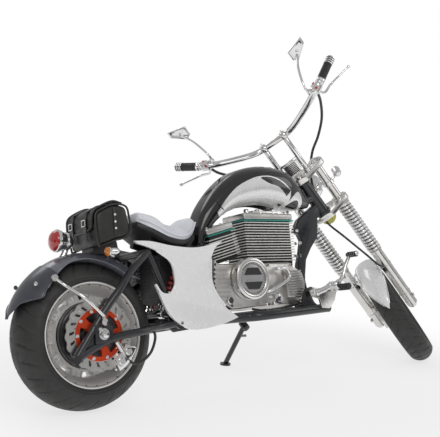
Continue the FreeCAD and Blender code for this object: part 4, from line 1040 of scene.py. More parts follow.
def fenderPieces(size):
    for name, (first, last), radius, finish, replaced in (
            ("fenderSheet", size["sheet"], size["radius"], fenderPaint, ["rear_fender"]),
            ("fenderFlap", size["flap"], size["radius"] + 3.2, flapPaint, [])):
        form = bmesh.new()
        rows = [fenderRow(size, first + (last - first) * step / 48, radius) for step in range(49)]
        skin(form, rows, False)
        walled(form, size["thick"])
        bikePart(name, form, finish, replaced, sharp=50)
        rim = bmesh.new()
        for end in (0, -1):
            tube(rim, [row[end] for row in rows[::3]], 3.0, 8, 2)
        bikePart(name + "Rim", rim, finish, sharp=50)


flapPaint = metalFinish("flapPaint", (0.075, 0.078, 0.095), (0.050, 0.052, 0.064), 0.34, metallic=0.45, coat=0.5)
fenderPieces(fender)

cover = {
    "top": [(160, 592), (230, 590), (330, 572), (440, 566), (562, 590)],
    "front": [(562, 590), (522, 560), (496, 505), (492, 436), (512, 382), (550, 334), (612, 288)],
    "low": [(612, 288), (540, 268), (440, 254), (366, 262), (290, 320), (238, 430)],
    "horn": [(238, 430), (262, 398), (296, 392), (322, 420), (326, 456), (312, 512), (250, 556), (158, 586)],
    "crease": [(500, 520), (494, 440), (514, 384), (552, 336)],
    "face": 138, "thick": 12, "rim": 5, "raised": 2.5,
}


def coverPieces(size):
    outline = []
    for stretch in ("top", "front", "low", "horn"):
        outline += [(point.x, point.z) for point in smoothPath([(x, 0, z) for x, z in size[stretch]], 6)[:-1]]
    form = bmesh.new()
    lip = bmesh.new()
    for side in (-1, 1):
        near, far = side * (size["face"] - size["thick"]), side * size["face"]
        prism(form, outline, min(near, far), max(near, far), outward)
        tube(lip, [(x, side * size["face"], z) for x, z in size["horn"][:-1]], 4.5, 10)
        tube(lip, [(x, side * size["face"], z) for x, z in size["crease"]], 4.0, 10)
    soften(form, 5, 3, 50)
    for side in (-1, 1):
        form.normal_update()
        outer = [face for face in form.faces if face.normal.y * side > 0.95]
        face = max(outer, key=lambda face: face.calc_area())
        bmesh.ops.inset_region(form, faces=[face], thickness=size["rim"], depth=size["raised"])
    bikePart("sideCovers", form, pearlPaint, ["side_covers"])
    bikePart("coverLips", lip, pearlPaint)


coverPieces(cover)
print("fender and covers made")

# Engine, frame and swingarm

engine = {
    "case": [(523, 520), (507, 361), (587, 318), (792, 314), (978, 322), (1004, 380), (991, 432), (940, 503),
             (523, 503)],
    "flat": 92, "bevel": 26, "ribs": (372, 18, 7), "feet": (600, 950),
    "bolt": [(0.001, 6), (5.5, 6), (6.5, 4), (6.5, -3), (0.001, -3)],
    "caseBolts": [(536, 500), (524, 372), (596, 334), (786, 330), (966, 338), (984, 384), (930, 490), (800, 492)],
    "front": (866, 0, 136, 78, 503, 716), "rear": (640, 14, 72, 68, 525, 668),
    "finPitch": 11.5, "finThick": 4.0, "finDeep": 13,
    "lid": ((870, 0, 722), (140, 108, 16)), "lidStuds": (806, 866, 926),
    "stud": [(0.001, 14), (9, 13), (11, 8), (11, -4), (0.001, -4)],
    "roundAt": (689, 0, 437),
    "round": [(0.001, 118), (80, 118), (86, 124), (86, 150), (83, 157), (77, 160), (70, 160), (65, 157), (64, 152),
              (0.001, 152)],
    "plate": [(0.001, 157), (30, 156.5), (52, 156), (60, 154), (63, 151), (0.001, 151)], "teeth": 40,
    "end": [(-46, -58), (30, -62), (52, -38), (58, 0), (46, 44), (10, 64), (-46, 64)],
    "caps": [([(0.001, 118), (24, 118), (24, 134), (21, 138), (12, 139), (10, 136), (0.001, 136)], 40, (832, 0, 350)),
             ([(0.001, 112), (15, 112), (15, 128), (12, 131), (0.001, 131)], 32, (588, 0, 355))],
    "pipe": [(771, -116, 381), (776, -146, 383), (851, -148, 412), (891, -148, 438), (886, -148, 464),
             (868, -148, 474), (836, -146, 474), (830, -116, 474)],
    "looms": [([(1000, -96, 560), (1004, -104, 470), (1012, -112, 380), (1004, -116, 330)], 4),
              ([(700, -120, 316), (770, -124, 306), (860, -122, 312), (930, -124, 322), (990, -128, 330)], 5)],
}


def inset(outline, gap):
    # A side-view outline drawn in towards its middle
    midX = sum(x for x, z in outline) / len(outline)
    midZ = sum(z for x, z in outline) / len(outline)
    out = []
    for x, z in outline:
        away = math.hypot(x - midX, z - midZ)
        out.append((x + (midX - x) * gap / away, z + (midZ - z) * gap / away))
    return out


def casePieces(size):
    flat, deep = size["flat"], size["bevel"]
    half = [(flat, 0), (flat + deep - 5, 9), (flat + deep, 17)]
    form = bmesh.new()
    skin(form, [[Vector((x, y, z)) for x, z in inset(size["case"], gap)]
                for y, gap in [(-out, gap) for out, gap in half[::-1]] + half], caps=True)
    soften(form, 4, 2, 40)
    for x in size["feet"]:
        block(form, (x, 0, 308), (44, 120, 34))
    first, pitch, count = size["ribs"]
    for side in (-1, 1):
        for index in range(count):
            block(form, (560, side * 113, first + pitch * index), (78 - abs(index - 3) * 4, 22, 7))
    bikePart("engineCase", form, castAlloy, ["engine_case"])
    bolts = bmesh.new()
    for x, z in size["caseBolts"]:
        lathe(bolts, size["bolt"], 6, (x, -flat - deep, z), outward.to_3x3())
    bikePart("caseBolts", bolts, chrome)


def finBlock(name, size, spot, replaced):
    # One cylinder block: a core, its stack of fins, the gasket line and the head
    centreX, lean, half, reach, low, high = spot
    tilt = Matrix.Translation((centreX, 0, low)) @ Matrix.Rotation(math.radians(-lean), 4, "Y")
    stand = bike @ toMetres @ tilt @ toMetres.inverted()
    tall = high - low
    deep = size["finDeep"]

    def slab(part, z, less, thick, finish, width=0, segments=2, replaced=()):
        form = bmesh.new()
        block(form, (0, 0, z), (2 * half - less, 2 * reach - less, thick))
        if width:
            soften(form, width, segments)
        finished(name + part, form, stand, "root", finish, 40, replaced)

    slab("Core", tall / 2 - 6, 2 * deep, tall, castShadow, replaced=replaced)
    fin = bmesh.new()
    block(fin, (0, 0, 12), (2 * half, 2 * reach, size["finThick"]))
    soften(fin, 1.4, 1)
    count = int((tall - 40) / size["finPitch"])
    repeated(name + "Fins", fin, "row", {"Count": count, "Step": (0, 0, size["finPitch"])}, stand, "root", finAlloy)
    slab("Gasket", tall - 31, -1, 5, tealGasket)
    slab("Head", tall - 14, 2, 28, castAlloy, 9, 3)
    bolts = bmesh.new()
    for x in (-0.78, -0.26, 0.26, 0.78):
        for side in (-1, 1):
            at = (x * half, side * (reach - 16), tall + 0.5)
            lathe(bolts, [(0.001, 5), (5, 5), (6, 3.5), (6, -2), (0.001, -2)], 6, at)
    finished(name + "Bolts", bolts, stand, "root", chrome, 40)


def coverPart(form, centre, outline, depth):
    prism(form, [(centre[0] + x, centre[1] + z) for x, z in outline], centre[2] - depth, centre[2], outward)


def enginePieces(size):
    casePieces(size)
    finBlock("frontBlock", size, size["front"], ["front_cylinder"])
    finBlock("rearBlock", size, size["rear"], ["rear_cylinder"])
    lid, faces, cover, windows, knurl, end, fins, small, loom = (bmesh.new() for _ in range(9))
    turn = outward.to_3x3()
    block(lid, *size["lid"])
    soften(lid, 5, 3)
    for x in size["lidStuds"]:
        lathe(lid, size["stud"], 24, (x, 0, 730))
    bikePart("frontLid", lid, brightAlloy)
    lathe(faces, size["round"], 80, size["roundAt"], turn)
    bikePart("roundCover", faces, brightAlloy, ["engine_covers"])
    lathe(cover, size["plate"], 64, size["roundAt"], turn)
    bikePart("roundPlate", cover, plateGrey)
    for top in (-1, 1):
        coverPart(windows, (689, 437, 159), [(-46, top * 14), (46, top * 14), (28, top * 43), (-28, top * 43)], 4)
    soften(windows, 1, 1)
    bikePart("roundWindows", windows, blackPlastic)
    block(knurl, (0, 60.5, 156), (3, 8, 5))
    around = bikeSide @ Matrix.Translation((0.689, 0.437, 0))
    repeated("coverTeeth", knurl, "ring", {"Count": size["teeth"]}, around, "root", castAlloy)
    coverPart(end, (932, 412, 132), size["end"], 20)
    soften(end, 5, 2)
    bikePart("endCover", end, castAlloy)
    for index in range(11):
        z = -52 + 10.4 * index
        reach = 52 - abs(z) * 0.32
        block(fins, (934, -138, 412 + z), (2 * reach - 12, 14, 4))
    soften(fins, 1.2, 1)
    bikePart("endFins", fins, brightAlloy)
    for profile, sides, at in size["caps"]:
        lathe(small, profile, sides, at, turn)
    tube(small, size["pipe"], 7, 16)
    bikePart("enginePipes", small, chrome)
    for points, radius in size["looms"]:
        tube(loom, points, radius, 10)
    bikePart("engineLoom", loom, blackPlastic)


tealGasket = metalFinish("tealGasket", (0.03, 0.28, 0.23), (0.02, 0.20, 0.17), 0.5, metallic=0.0)
plateGrey = metalFinish("plateGrey", (0.42, 0.42, 0.43), (0.36, 0.36, 0.37), 0.30, metallic=0.6)
finAlloy = metalFinish("finAlloy", (0.88, 0.87, 0.85), (0.80, 0.79, 0.76), 0.26, metallic=0.45)
castShadow = metalFinish("castShadow", (0.06, 0.06, 0.06), (0.035, 0.035, 0.036), 0.55, 0.5, 400, metallic=0.8)
enginePieces(engine)
print("engine made")

chassis = {
    "spine": [(1100, 0, 782), (900, 0, 790), (720, 0, 768), (575, 0, 668), (470, 0, 575)],
    "post": [(470, 100, 575), (470, 92, 440), (470, 86, 313)],
    "strut": [(470, 92, 562), (380, 84, 568), (268, 66, 596)],
    "rail": [(464, 111, 284), (665, 111, 285), (750, 152, 287), (1092, 152, 300)],
    "railCross": ((600, 285, 98, 14), (950, 296, 146, 14), (1067, 300, 146, 14)),
    "hook": [(940, 300), (948, 350), (966, 384), (1000, 393), (1026, 382), (1006, 372), (997, 352), (1010, 328),
             (1030, 312), (1030, 300)],
    "lug": [(482, 420), (482, 262), (335, 250), (311, 270), (325, 316), (440, 360)],
    "bay": [(1097, 701), (1072, 662), (1066, 641), (1092, 634), (1106, 606), (1094, 560), (1072, 500), (1046, 300),
            (1088, 300), (1106, 452), (1120, 520), (1156, 572), (1202, 622)],
    "neckEdge": ((-10, 0, 801), (-26, 0, 746)), "neckFoot": ((-62, 0, 693), (-16, 0, 691)),
    "collar": [(24, -7), (33, -7), (34, -5), (34, 5), (33, 7), (24, 7)],
    "bolt": [(0.001, 5), (6, 5), (7.5, 3.5), (7.5, -2), (0.001, -2)],
    "boltsAt": ((1076, 650), (1090, 596), (1082, 540), (1062, 460), (1058, 380)),
}


def onNeck(a, b, c):
    # A point of the straight neck frame, in the bike's drawing frame
    straight = fork @ Matrix.Rotation(math.radians(-46), 4, "Z")
    return (bike.inverted() @ straight @ Vector((a / 1000, b / 1000, c / 1000))) * 1000


def plate(form, outline, low, high, width=2.5, frame=outward):
    # A flat outline drawn out, its edges rounded before it joins the form
    part = bmesh.new()
    prism(part, outline, low, high, frame)
    soften(part, width, 2)
    mesh = meshOf(part, "part")
    form.from_mesh(mesh)
    bpy.data.meshes.remove(mesh)


def openTube(form, points, radius, sides=20):
    # A tube that shows its bore at the last end
    tube(form, points, radius, sides)
    last, before = Vector(points[-1]), Vector(points[-2])
    lip = [(radius - 2.5, 0.6), (radius, 0.6), (radius + 0.6, -3), (radius - 2.5, -3)]
    lathe(form, lip, 24, last, turnTo((last - before).normalized()))


def crossTube(form, x, z, reach, radius, sides):
    tube(form, [(x, -reach, z), (x, 0, z), (x, reach, z)], radius, sides, 2)


def framePieces(size):
    form = bmesh.new()
    low, high = onNeck(0, 0, 683), onNeck(0, 0, 856)
    tube(form, [low, (low + high) / 2, high], 30, 32, 1)
    for end in (low, high):
        lathe(form, size["collar"], 40, end, turnTo((high - low).normalized()))
    tube(form, [onNeck(0, 0, 770)] + size["spine"], 22, 24)
    crossTube(form, 470, 560, 108, 15, 20)
    crossTube(form, 415, 560, 86, 10, 16)
    for side in (-1, 1):
        tube(form, onSide(side, size["post"]), 15, 20)
        tube(form, onSide(side, size["strut"]), 11, 16)
        plate(form, size["lug"], -side * 86 - 6, -side * 86 + 6)
    neckEdge, neckFoot = ([(p.x, p.z) for p in (onNeck(*at) for at in size[key])] for key in ("neckEdge", "neckFoot"))
    plate(form, neckEdge + size["bay"] + neckFoot, -15, 15, 5)
    bikePart("mainFrame", form, blackPaint, ["main_frame"])
    rails = bmesh.new()
    for side in (-1, 1):
        openTube(rails, onSide(side, size["rail"]), 19)
        plate(rails, size["hook"], -side * 152 - 5, -side * 152 + 5)
    for x, z, reach, radius in size["railCross"]:
        crossTube(rails, x, z, reach, radius, 20)
    bikePart("cradleRails", rails, blackPaint, ["cradle_rails"])
    bolts = bmesh.new()
    for x, z in size["boltsAt"]:
        for side in (-1, 1):
            lathe(bolts, size["bolt"], 6, (x, side * 16, z), facing(side))
    bikePart("frameBolts", bolts, chrome)


framePieces(chassis)

swingarm = {
    "tubes": [([(-106, 150, 186), (5, 150, 333), (80, 150, 418), (150, 133, 490), (228, 116, 552)], 14),
              ([(-106, 150, 186), (-24, 150, 225), (57, 150, 252), (160, 150, 264), (262, 116, 276),
                (345, 116, 284)], 14),
              ([(337, 116, 282), (228, 116, 552)], 11)],
    "gusset": [(-70, 222), (-52, 262), (-18, 300), (26, 294), (36, 276), (34, 244)],
    "axlePlate": [(-34, 232), (-34, 298), (36, 292), (36, 240)],
    "cross": ((345, 282, 128, 20), (228, 552, 118, 13), (305, 318, 112, 10)),
    "axleNut": [(0.001, 16), (6, 15), (8, 12), (13, 11), (14, 9), (14, 0), (20, 0), (20, -3), (0.001, -3)],
    "nut": [(0.001, 9), (7, 9), (8, 7), (8, 0), (0.001, 0)],
}


def swingarmPieces(size):
    form = bmesh.new()
    for side in (-1, 1):
        for points, radius in size["tubes"]:
            tube(form, onSide(side, points), radius, 20)
        plate(form, size["gusset"], -side * 150 - 5, -side * 150 + 5)
        plate(form, size["axlePlate"], -side * 161 - 4, -side * 161 + 4)
        lathe(form, [(0.001, -14), (15, -14), (15, 14), (0.001, 14)], 24, (-106, side * 150, 186), outward.to_3x3())
    for x, z, reach, radius in size["cross"]:
        crossTube(form, x, z, reach, radius, 24)
    bikePart("swingArm", form, blackPaint, ["swingarm"])
    nuts = bmesh.new()
    for side in (-1, 1):
        lathe(nuts, size["axleNut"], 24, (0, side * 166, 265), facing(side))
        lathe(nuts, size["nut"], 6, (345, side * 129, 283), facing(side))
        lathe(nuts, size["nut"], 6, (-18, side * 166, 282), facing(side))
    bikePart("axleNuts", nuts, chrome)


swingarmPieces(swingarm)
print("frame made")

# Fork, bar and everything that turns with them

forkSizes = {
    "legs": 94, "ahead": 70, "tube": 21, "slider": 27, "foot": -26, "sliderTop": 340, "springTop": 648,
    "turns": 16, "wire": 6.4, "lower": 663, "upper": 876, "top": 899,
    "clamp": [(-34, -26), (-30, -36), (44, -130), (70, -136), (98, -126), (106, -94), (96, -66), (70, -50), (62, 0),
              (70, 50), (96, 66), (106, 94), (98, 126), (70, 136), (44, 130), (-30, 36), (-34, 26)],
    "bar": [(20, 0, 1087), (14, 93, 1093), (-74, 190, 1153), (-150, 264, 1209), (-128, 318, 1233), (-62, 391, 1261)],
    "risers": [([(20, 53, 888), (20, 53, 1076)], 13, 2.0), ([(20, 53, 886), (20, 53, 902)], 19, 3),
               ([(17, 40, 1088), (17, 66, 1090)], 20, 3)],
    "lever": [([(-128, 276, 1214), (-119, 281, 1215), (-60, 304, 1163), (0, 349, 1160), (8, 395, 1167),
                (20, 453, 1174)], (6.5, 4.5), 14), ([(20, 446, 1173), (21, 462, 1175)], 7, 3)],
}


def roundBar(form, start, end, radius, lip=2.0, sides=40):
    # A turned bar between two points with small chamfers, or a cone with two radii
    start, end = Vector(start), Vector(end)
    first, last = radius if isinstance(radius, tuple) else (radius, radius)
    run = end - start
    tall = run.length
    profile = [(0.001, 0), (first - lip, 0), (first, lip), (last, tall - lip), (last - lip, tall), (0.001, tall)]
    lathe(form, profile, sides, start, turnTo(run.normalized()))


def rods(form, side, rows):
    # Two points make a turned bar with a chamfer, more make a smooth tube with so many sides
    for points, radius, detail in rows:
        points = onSide(side, points)
        if len(points) > 2:
            tube(form, points, radius, detail)
        else:
            roundBar(form, *points, radius, detail)


def forkPieces(size):
    legs, clamps = bmesh.new(), bmesh.new()
    ahead, foot, top, slider = size["ahead"], size["foot"], size["top"], size["sliderTop"]

    def legBar(form, b, low, high, radius, lip=2.0):
        roundBar(form, (ahead, b, low), (ahead, b, high), radius, lip)

    for side in (-1, 1):
        b = side * size["legs"]
        legBar(legs, b, slider - 20, top, size["tube"])
        legBar(legs, b, foot + 14, slider, size["slider"], 4)
        legBar(legs, b, foot, foot + 20, (20, 27), 3)
        for c, radius, tall in ((slider - 6, 31, 14), (slider - 96, 29.5, 8), (60, 29.5, 8),
                                (size["springTop"] - 4, 30, 10)):
            legBar(legs, b, c, c + tall, radius)
        roundBar(legs, (ahead - 14, b + side * 26, 34), (ahead - 14, b + side * 33, 34), 9)
        legBar(legs, b, top - 3, top + 5, 12)
    forkPart("forkLegs", legs, brightAlloy, ["fork_legs"])
    spring = {"Turns": float(size["turns"]), "Radius": 27.5, "Length": float(size["springTop"] - slider - 12),
              "Wire": size["wire"]}
    for side, name, replaced in ((-1, "forkSpringRight", ["fork_springs"]), (1, "forkSpringLeft", [])):
        seat = fork @ Matrix.Translation((ahead / 1000, side * size["legs"] / 1000, (slider + 10) / 1000))
        repeated(name, bmesh.new(), "coil", spring, seat, "steering", chrome, 60, replaced)
    for c in (size["lower"], size["upper"]):
        plate(clamps, size["clamp"], c - 14, c + 14, 4, None)
        for side in (-1, 1):
            legBar(clamps, side * size["legs"], c - 17, c + 17, 33, 3)
            roundBar(clamps, (34, side * 62, c - 4), (22, side * 76, c - 4), 5)
    roundBar(clamps, (0, 0, size["upper"] + 10), (0, 0, size["upper"] + 26), 18, 3)
    forkPart("forkClamps", clamps, brightAlloy, ["upper_clamp"])


def barPieces(size):
    form = bmesh.new()
    path = size["bar"]
    for side in (-1, 1):
        tube(form, onSide(side, path), 14, 24, 6)
    for side in (-1, 1):
        rods(form, side, size["risers"])
        for x in (2, 32):
            roundBar(form, (x, side * 53, 1102), (x, side * 53, 1114), 4, 1, 6)
    roundBar(form, (20, -53, 968), (20, 53, 968), 7)
    forkPart("handlebar", form, chrome, ["handlebar"], sharp=50)
    grips, ends, switches, levers, buttons = (bmesh.new() for _ in range(5))
    for side in (-1, 1):
        bend, start, end = [Vector(point) for point in onSide(side, path[-3:])]
        run = (end - start).normalized()
        sweep = (start - bend).normalized()
        finish = end + run * 27
        gripStart, gripEnd = start + run * 6, finish - run * 42
        roundBar(grips, gripStart, gripEnd, 17, 3)
        long = (gripEnd - gripStart).length
        for index in range(9):
            near = gripStart + run * (8 + (long - 16) * index / 8)
            roundBar(grips, near - run * 1.4, near + run * 1.4, 18.2, 1)
        roundBar(grips, finish - run * 43, finish, 18.5, 3)
        for index in range(4):
            roundBar(ends, finish - run * (38 - 10 * index), finish - run * (33 - 10 * index), 19.6, 1)
        roundBar(ends, finish - run * 3, finish + run * 3, 15, 3)
        roundBar(ends, gripStart - run * 12, gripStart, 19, 2)
        housing = bend.lerp(start, 0.40)
        roundBar(switches, housing - sweep * 20, housing + sweep * 20, 22, 5)
        ahead = Vector((1, 0, 0))
        turned = placeOf(ahead, sweep, ahead.cross(sweep), (0, 0, 0))
        block(switches, housing + Vector((-9, 0, 12)), (26, 24, 30), turned)
        roundBar(switches, housing + Vector((-20, 0, 6)), housing + Vector((-27, 0, 9)), 9, 2)
        roundBar(buttons, housing + Vector((-24, 0, 7)), housing + Vector((-31, 0, 10)), 5.5, 1.5)
        roundBar(buttons, housing + Vector((-12, 0, 24)), housing + Vector((-15, 0, 31)), 5, 1.5)
        rods(levers, side, size["lever"])
        roundBar(levers, housing + sweep * 22, housing + sweep * 34, 19, 3)
    forkPart("grips", grips, blackPlastic, ["grips"])
    forkPart("gripEnds", ends, chrome)
    forkPart("switches", switches, brightAlloy, ["bar_controls"])
    forkPart("levers", levers, chrome, sharp=50)
    forkPart("switchButtons", buttons, redLens)


mirrorShape = {
    "corners": [(270, 1397), (352, 1421), (353, 1390), (296, 1342), (272, 1354)],
    "shell": [(-58, 0.55), (-57, 0.80), (-53, 0.96), (-48, 1.0), (-46, 0.985), (-47.5, 0.93)],
    "glass": [(-50, 0.925), (-47, 0.925)],
    "stem": [([(-134, 254, 1222), (-173, 247, 1262), (-120, 270, 1326), (-64, 300, 1366)], 5, 14),
             ([(-58, 306, 1376), (-50, 310, 1382)], 9, 2.0), ([(-140, 256, 1204), (-146, 254, 1232)], 12, 3)],
}


def mirrorPieces(size):
    backs, glass, stems = bmesh.new(), bmesh.new(), bmesh.new()
    middle = Vector((sum(b for b, c in size["corners"]) / 5, sum(c for b, c in size["corners"]) / 5))

    def sections(side, shape):
        return [[Vector((a, side * (middle.x + (b - middle.x) * scale), middle.y + (c - middle.y) * scale))
                 for b, c in size["corners"]] for a, scale in shape]

    for side in (-1, 1):
        skin(backs, sections(side, size["shell"]), caps=True)
        skin(glass, sections(side, size["glass"]), caps=True)
        rods(stems, side, size["stem"])
    soften(backs, 3, 2, 30)
    forkPart("mirrorBacks", backs, chrome, ["mirrors"])
    forkPart("mirrorGlass", glass, mirrorGlass)
    forkPart("mirrorStems", stems, chrome, sharp=50)


mirrorGlass = metalFinish("mirrorGlass", (0.86, 0.88, 0.90), (0.82, 0.84, 0.86), 0.04)


head = {
    "box": ((25, 0, 938), (42, 70, 60)), "lampAt": (0, 0, 752), "hornAt": (112, 0, 606), "signalAt": (90, 154, 776),
    "lamp": [(0.001, 118), (22, 118), (32, 122), (48, 140), (60, 168), (64, 186), (69, 188), (69, 196), (62, 197),
             (60, 190), (0.001, 190)],
    "bracket": [([(88, 80, 752), (130, 72, 752), (160, 64, 752)], 6, 14)],
    "lens": [(0.001, 190), (60, 190), (60, 193), (40, 198), (20, 200), (0.001, 200.5)],
    "horn": [(0.001, -11), (34, -11), (38, -8), (38, 4), (34, 8), (26, 8), (24, 5), (16, 5), (14, 9), (0.001, 9)],
    "signal": [(0.001, -36), (8, -35), (15, -28), (19, -12), (20, 20), (21, 24), (21, 28), (0.001, 28)],
    "glow": [(0.001, 26), (18, 26), (17, 34), (11, 39), (0.001, 40)],
    "signalRods": [([(70, 112, 764), (78, 130, 768), (86, 144, 774)], 7, 14), ([(70, 94, 752), (70, 94, 774)], 27, 2)],
}


def headPieces(size):
    box = bmesh.new()
    block(box, *size["box"])
    soften(box, 6, 3)
    forkPart("instrumentBox", box, brightAlloy, ["instrument_box"])
    vents = bmesh.new()
    for index in range(7):
        block(vents, (2.5, 0, 916 + 7.5 * index), (4, 54, 3))
    for index in range(5):
        block(vents, (25, -34.5, 918 + 10 * index), (28, 3, 3.5))
    forkPart("boxVents", vents, blackPlastic)
    lamp, lens, horn, signals, lenses = (bmesh.new() for _ in range(5))
    turn = Matrix.Rotation(math.radians(90), 3, "Y")
    lathe(lamp, size["lamp"], 64, size["lampAt"], turn)
    lathe(lens, size["lens"], 48, size["lampAt"], turn)
    lathe(horn, size["horn"], 48, size["hornAt"], turn)
    for side in (-1, 1):
        rods(lamp, side, size["bracket"])
        at = onSide(side, [size["signalAt"]])[0]
        lathe(signals, size["signal"], 32, at, turn)
        lathe(lenses, size["glow"], 32, at, turn)
        rods(signals, side, size["signalRods"])
    forkPart("headLamp", lamp, chrome, ["head_lamp"])
    forkPart("headLens", lens, mirrorGlass)
    forkPart("horn", horn, hornZinc, ["horn"])
    forkPart("frontSignals", signals, chrome, ["front_signals"])
    forkPart("frontSignalLenses", lenses, amberLens)


amberLens = metalFinish("amberLens", (0.62, 0.20, 0.02), (0.48, 0.14, 0.01), 0.14, metallic=0.0, coat=0.8)

guard = {
    "centre": 70, "radius": 288, "half": 61, "crown": 66, "back": 145, "front": 58, "crest": 0.42, "thick": 3.0,
    "stayAngles": (78, 104),
}


def guardPieces(size):
    form = bmesh.new()
    rows = []
    steps, crest, centre = 44, size["crest"], size["centre"]
    for index in range(steps + 1):
        share = index / steps
        turn = math.radians(size["front"] + (size["back"] - size["front"]) * index / steps)
        # Broad and rounded at the crest, drawn out to a point behind
        if share < crest:
            half = size["half"] * math.sqrt(max(0.02, 1 - ((crest - share) / 0.44) ** 2))
        else:
            half = size["half"] * max(0.02, math.cos(math.pi / 2 * ((share - crest) / 0.58) ** 1.25)) ** 0.85
        row = []
        for step in range(21):
            out = half * (step - 10) / 10
            r = size["radius"] + 6 - (size["crown"] - math.sqrt(size["crown"] ** 2 - out ** 2))
            row.append(Vector((centre + r * math.cos(turn), out, r * math.sin(turn))))
        rows.append(row)
    skin(form, rows, False)
    walled(form, size["thick"])
    forkPart("frontFender", form, pearlPaint, ["front_fender"], sharp=50)
    edge = bmesh.new()
    for end in (0, -1):
        tube(edge, [row[end] for row in rows[::3]], 3, 10, 2)
    r = size["radius"] - 4
    for angle in size["stayAngles"]:
        ahead, up = r * math.cos(math.radians(angle)), r * math.sin(math.radians(angle))
        for side in (-1, 1):
            stay = [(centre, 72, 252), (centre + 0.6 * ahead, 68, 262), (centre + ahead, 54, up - 18)]
            tube(edge, onSide(side, stay), 5, 12)
    forkPart("fenderTrim", edge, chrome, sharp=50)


cableRoutes = [
    ([(-135, -281, 1201), (-70, -270, 1140), (6, -236, 1056), (70, -178, 978), (122, -116, 916), (116, -60, 850),
      (98, -32, 800), (121, -20, 760)], 6),
    ([(-135, 281, 1201), (-70, 270, 1140), (6, 226, 1056), (60, 168, 978), (112, 110, 916), (112, 58, 850),
      (98, 30, 800), (118, 18, 770)], 6),
    ([(24, 16, 648), (22, 12, 600), (2, -13, 520), (0, -46, 391), (2, -68, 300), (36, -82, 268), (70, -94, 258)], 5),
]


def cablePieces(routes):
    cables = bmesh.new()
    for points, radius in routes:
        tube(cables, points, radius, 12)
    forkPart("cables", cables, blackPlastic, ["control_cables"], sharp=50)


forkPieces(forkSizes)
barPieces(forkSizes)
mirrorPieces(mirrorShape)
headPieces(head)
guardPieces(guard)
cablePieces(cableRoutes)
print("steering made")

# Lamps, stays, dampers, brake and foot controls


tail = {
    "lampAt": (-78, 0, 608), "lampAhead": (-1, 0, 0.10),
    "lamp": [(0.001, -60), (12, -60), (26, -48), (31, -40), (35, -14), (40, -6), (42, 0), (42, 7), (39, 9), (39, 2),
             (0.001, 2)],
    "lampBand": [(30, -34), (35, -33), (35, -29), (30, -28)],
    "lens": [(0.001, 3), (38.5, 3), (38.5, 10), (35, 18), (26, 25), (14, 29), (0.001, 30)],
    "neck": [(-46, 0, 580), (-60, 0, 552), (-84, 0, 528)], "foot": ((-70, 0, 538), (44, 30, 8)),
    "signalAt": (66, 140, 553),
    "signal": [(0.001, -28), (6, -28), (12, -22), (16, -8), (17, 12), (18.5, 14), (18.5, 20), (0.001, 20)],
    "glow": [(0.001, 18), (16.5, 18), (16, 24), (10, 29), (0.001, 30)],
    "signalRods": [([(72, 66, 528), (70, 104, 540), (68, 132, 551)], 6, 14),
                   ([(66, 140, 540), (66, 140, 531)], 7, 2.0)],
    "stay": [(-150, 109, 470), (-112, 116, 440), (-70, 164, 396), (0, 170, 326)],
    "stayFoot": [(0, 170, 326), (0, 170, 300)],
    "washer": [(0.001, 5), (6, 5), (7, 3), (12, 2.5), (12, -2), (0.001, -2)],
    "washersAt": [(-148, 112, 468), (0, 175, 306)],
    "stud": [(0.001, 3), (5, 3), (7, 1.5), (8, 0), (0.001, 0)], "studAt": (-206, 88, 452),
}


def tailPieces(size):
    body, lens = bmesh.new(), bmesh.new()
    turn = turnTo(Vector(size["lampAhead"]).normalized())
    lathe(body, size["lamp"], 48, size["lampAt"], turn)
    lathe(body, size["lampBand"], 48, size["lampAt"], turn)
    tube(body, size["neck"], 11, 16)
    block(body, *size["foot"])
    lathe(lens, size["lens"], 48, size["lampAt"], turn)
    bikePart("tailLamp", body, chrome, ["tail_lamp"], sharp=35)
    bikePart("tailLens", lens, redLens, sharp=35)
    shells, glow, stays = bmesh.new(), bmesh.new(), bmesh.new()
    turn = Matrix.Rotation(math.radians(-90), 3, "Y")
    for side in (-1, 1):
        at = onSide(side, [size["signalAt"]])[0]
        lathe(shells, size["signal"], 32, at, turn)
        lathe(glow, size["glow"], 32, at, turn)
        rods(shells, side, size["signalRods"])
    bikePart("rearSignals", shells, chrome, ["rear_signals"], sharp=35)
    bikePart("rearSignalLenses", glow, amberLens, sharp=35)
    for side in (-1, 1):
        tube(stays, onSide(side, size["stay"]), 6, 16)
        tube(stays, onSide(side, size["stayFoot"]), 7, 16)
        for at in onSide(side, size["washersAt"]):
            lathe(stays, size["washer"], 24, at, facing(side))
        lathe(stays, size["stud"], 20, *onSide(side, [size["studAt"]]), facing(side))
    bikePart("fenderStays", stays, chrome, ["fender_stays"], sharp=35)


damper = {
    "low": (305, 0, 318), "high": (415, 0, 560), "out": 64, "eye": 13,
    "spring": {"Turns": 8.0, "Radius": 23.0, "Length": 172.0, "Wire": 8.0}, "springFrom": 44,
}


def damperPieces(size):
    bodies = bmesh.new()
    low, high = Vector(size["low"]), Vector(size["high"])
    run = (high - low).normalized()
    eye = Vector((0, size["eye"], 0))
    for side, name, replaced in ((-1, "Right", ["rear_shocks"]), (1, "Left", [])):
        y = Vector((0, side * size["out"], 0))
        roundBar(bodies, low + y, high + y, 8)
        roundBar(bodies, low + y + run * 14, low + y + run * 120, 17, 3)
        roundBar(bodies, high + y - run * 46, high + y - run * 30, 27, 3)
        roundBar(bodies, low + y + run * 30, low + y + run * 38, 27, 2)
        for end in (low, high):
            roundBar(bodies, end + y - eye, end + y + eye, 15, 2)
        turn = turnTo(run).to_4x4()
        turn.translation = (low + y + run * size["springFrom"]) / 1000
        repeated("damperSpring" + name, bmesh.new(), "coil", size["spring"], bike @ turn, "root", springRed, 60,
                 replaced)
    bikePart("damperBodies", bodies, chrome, sharp=35)


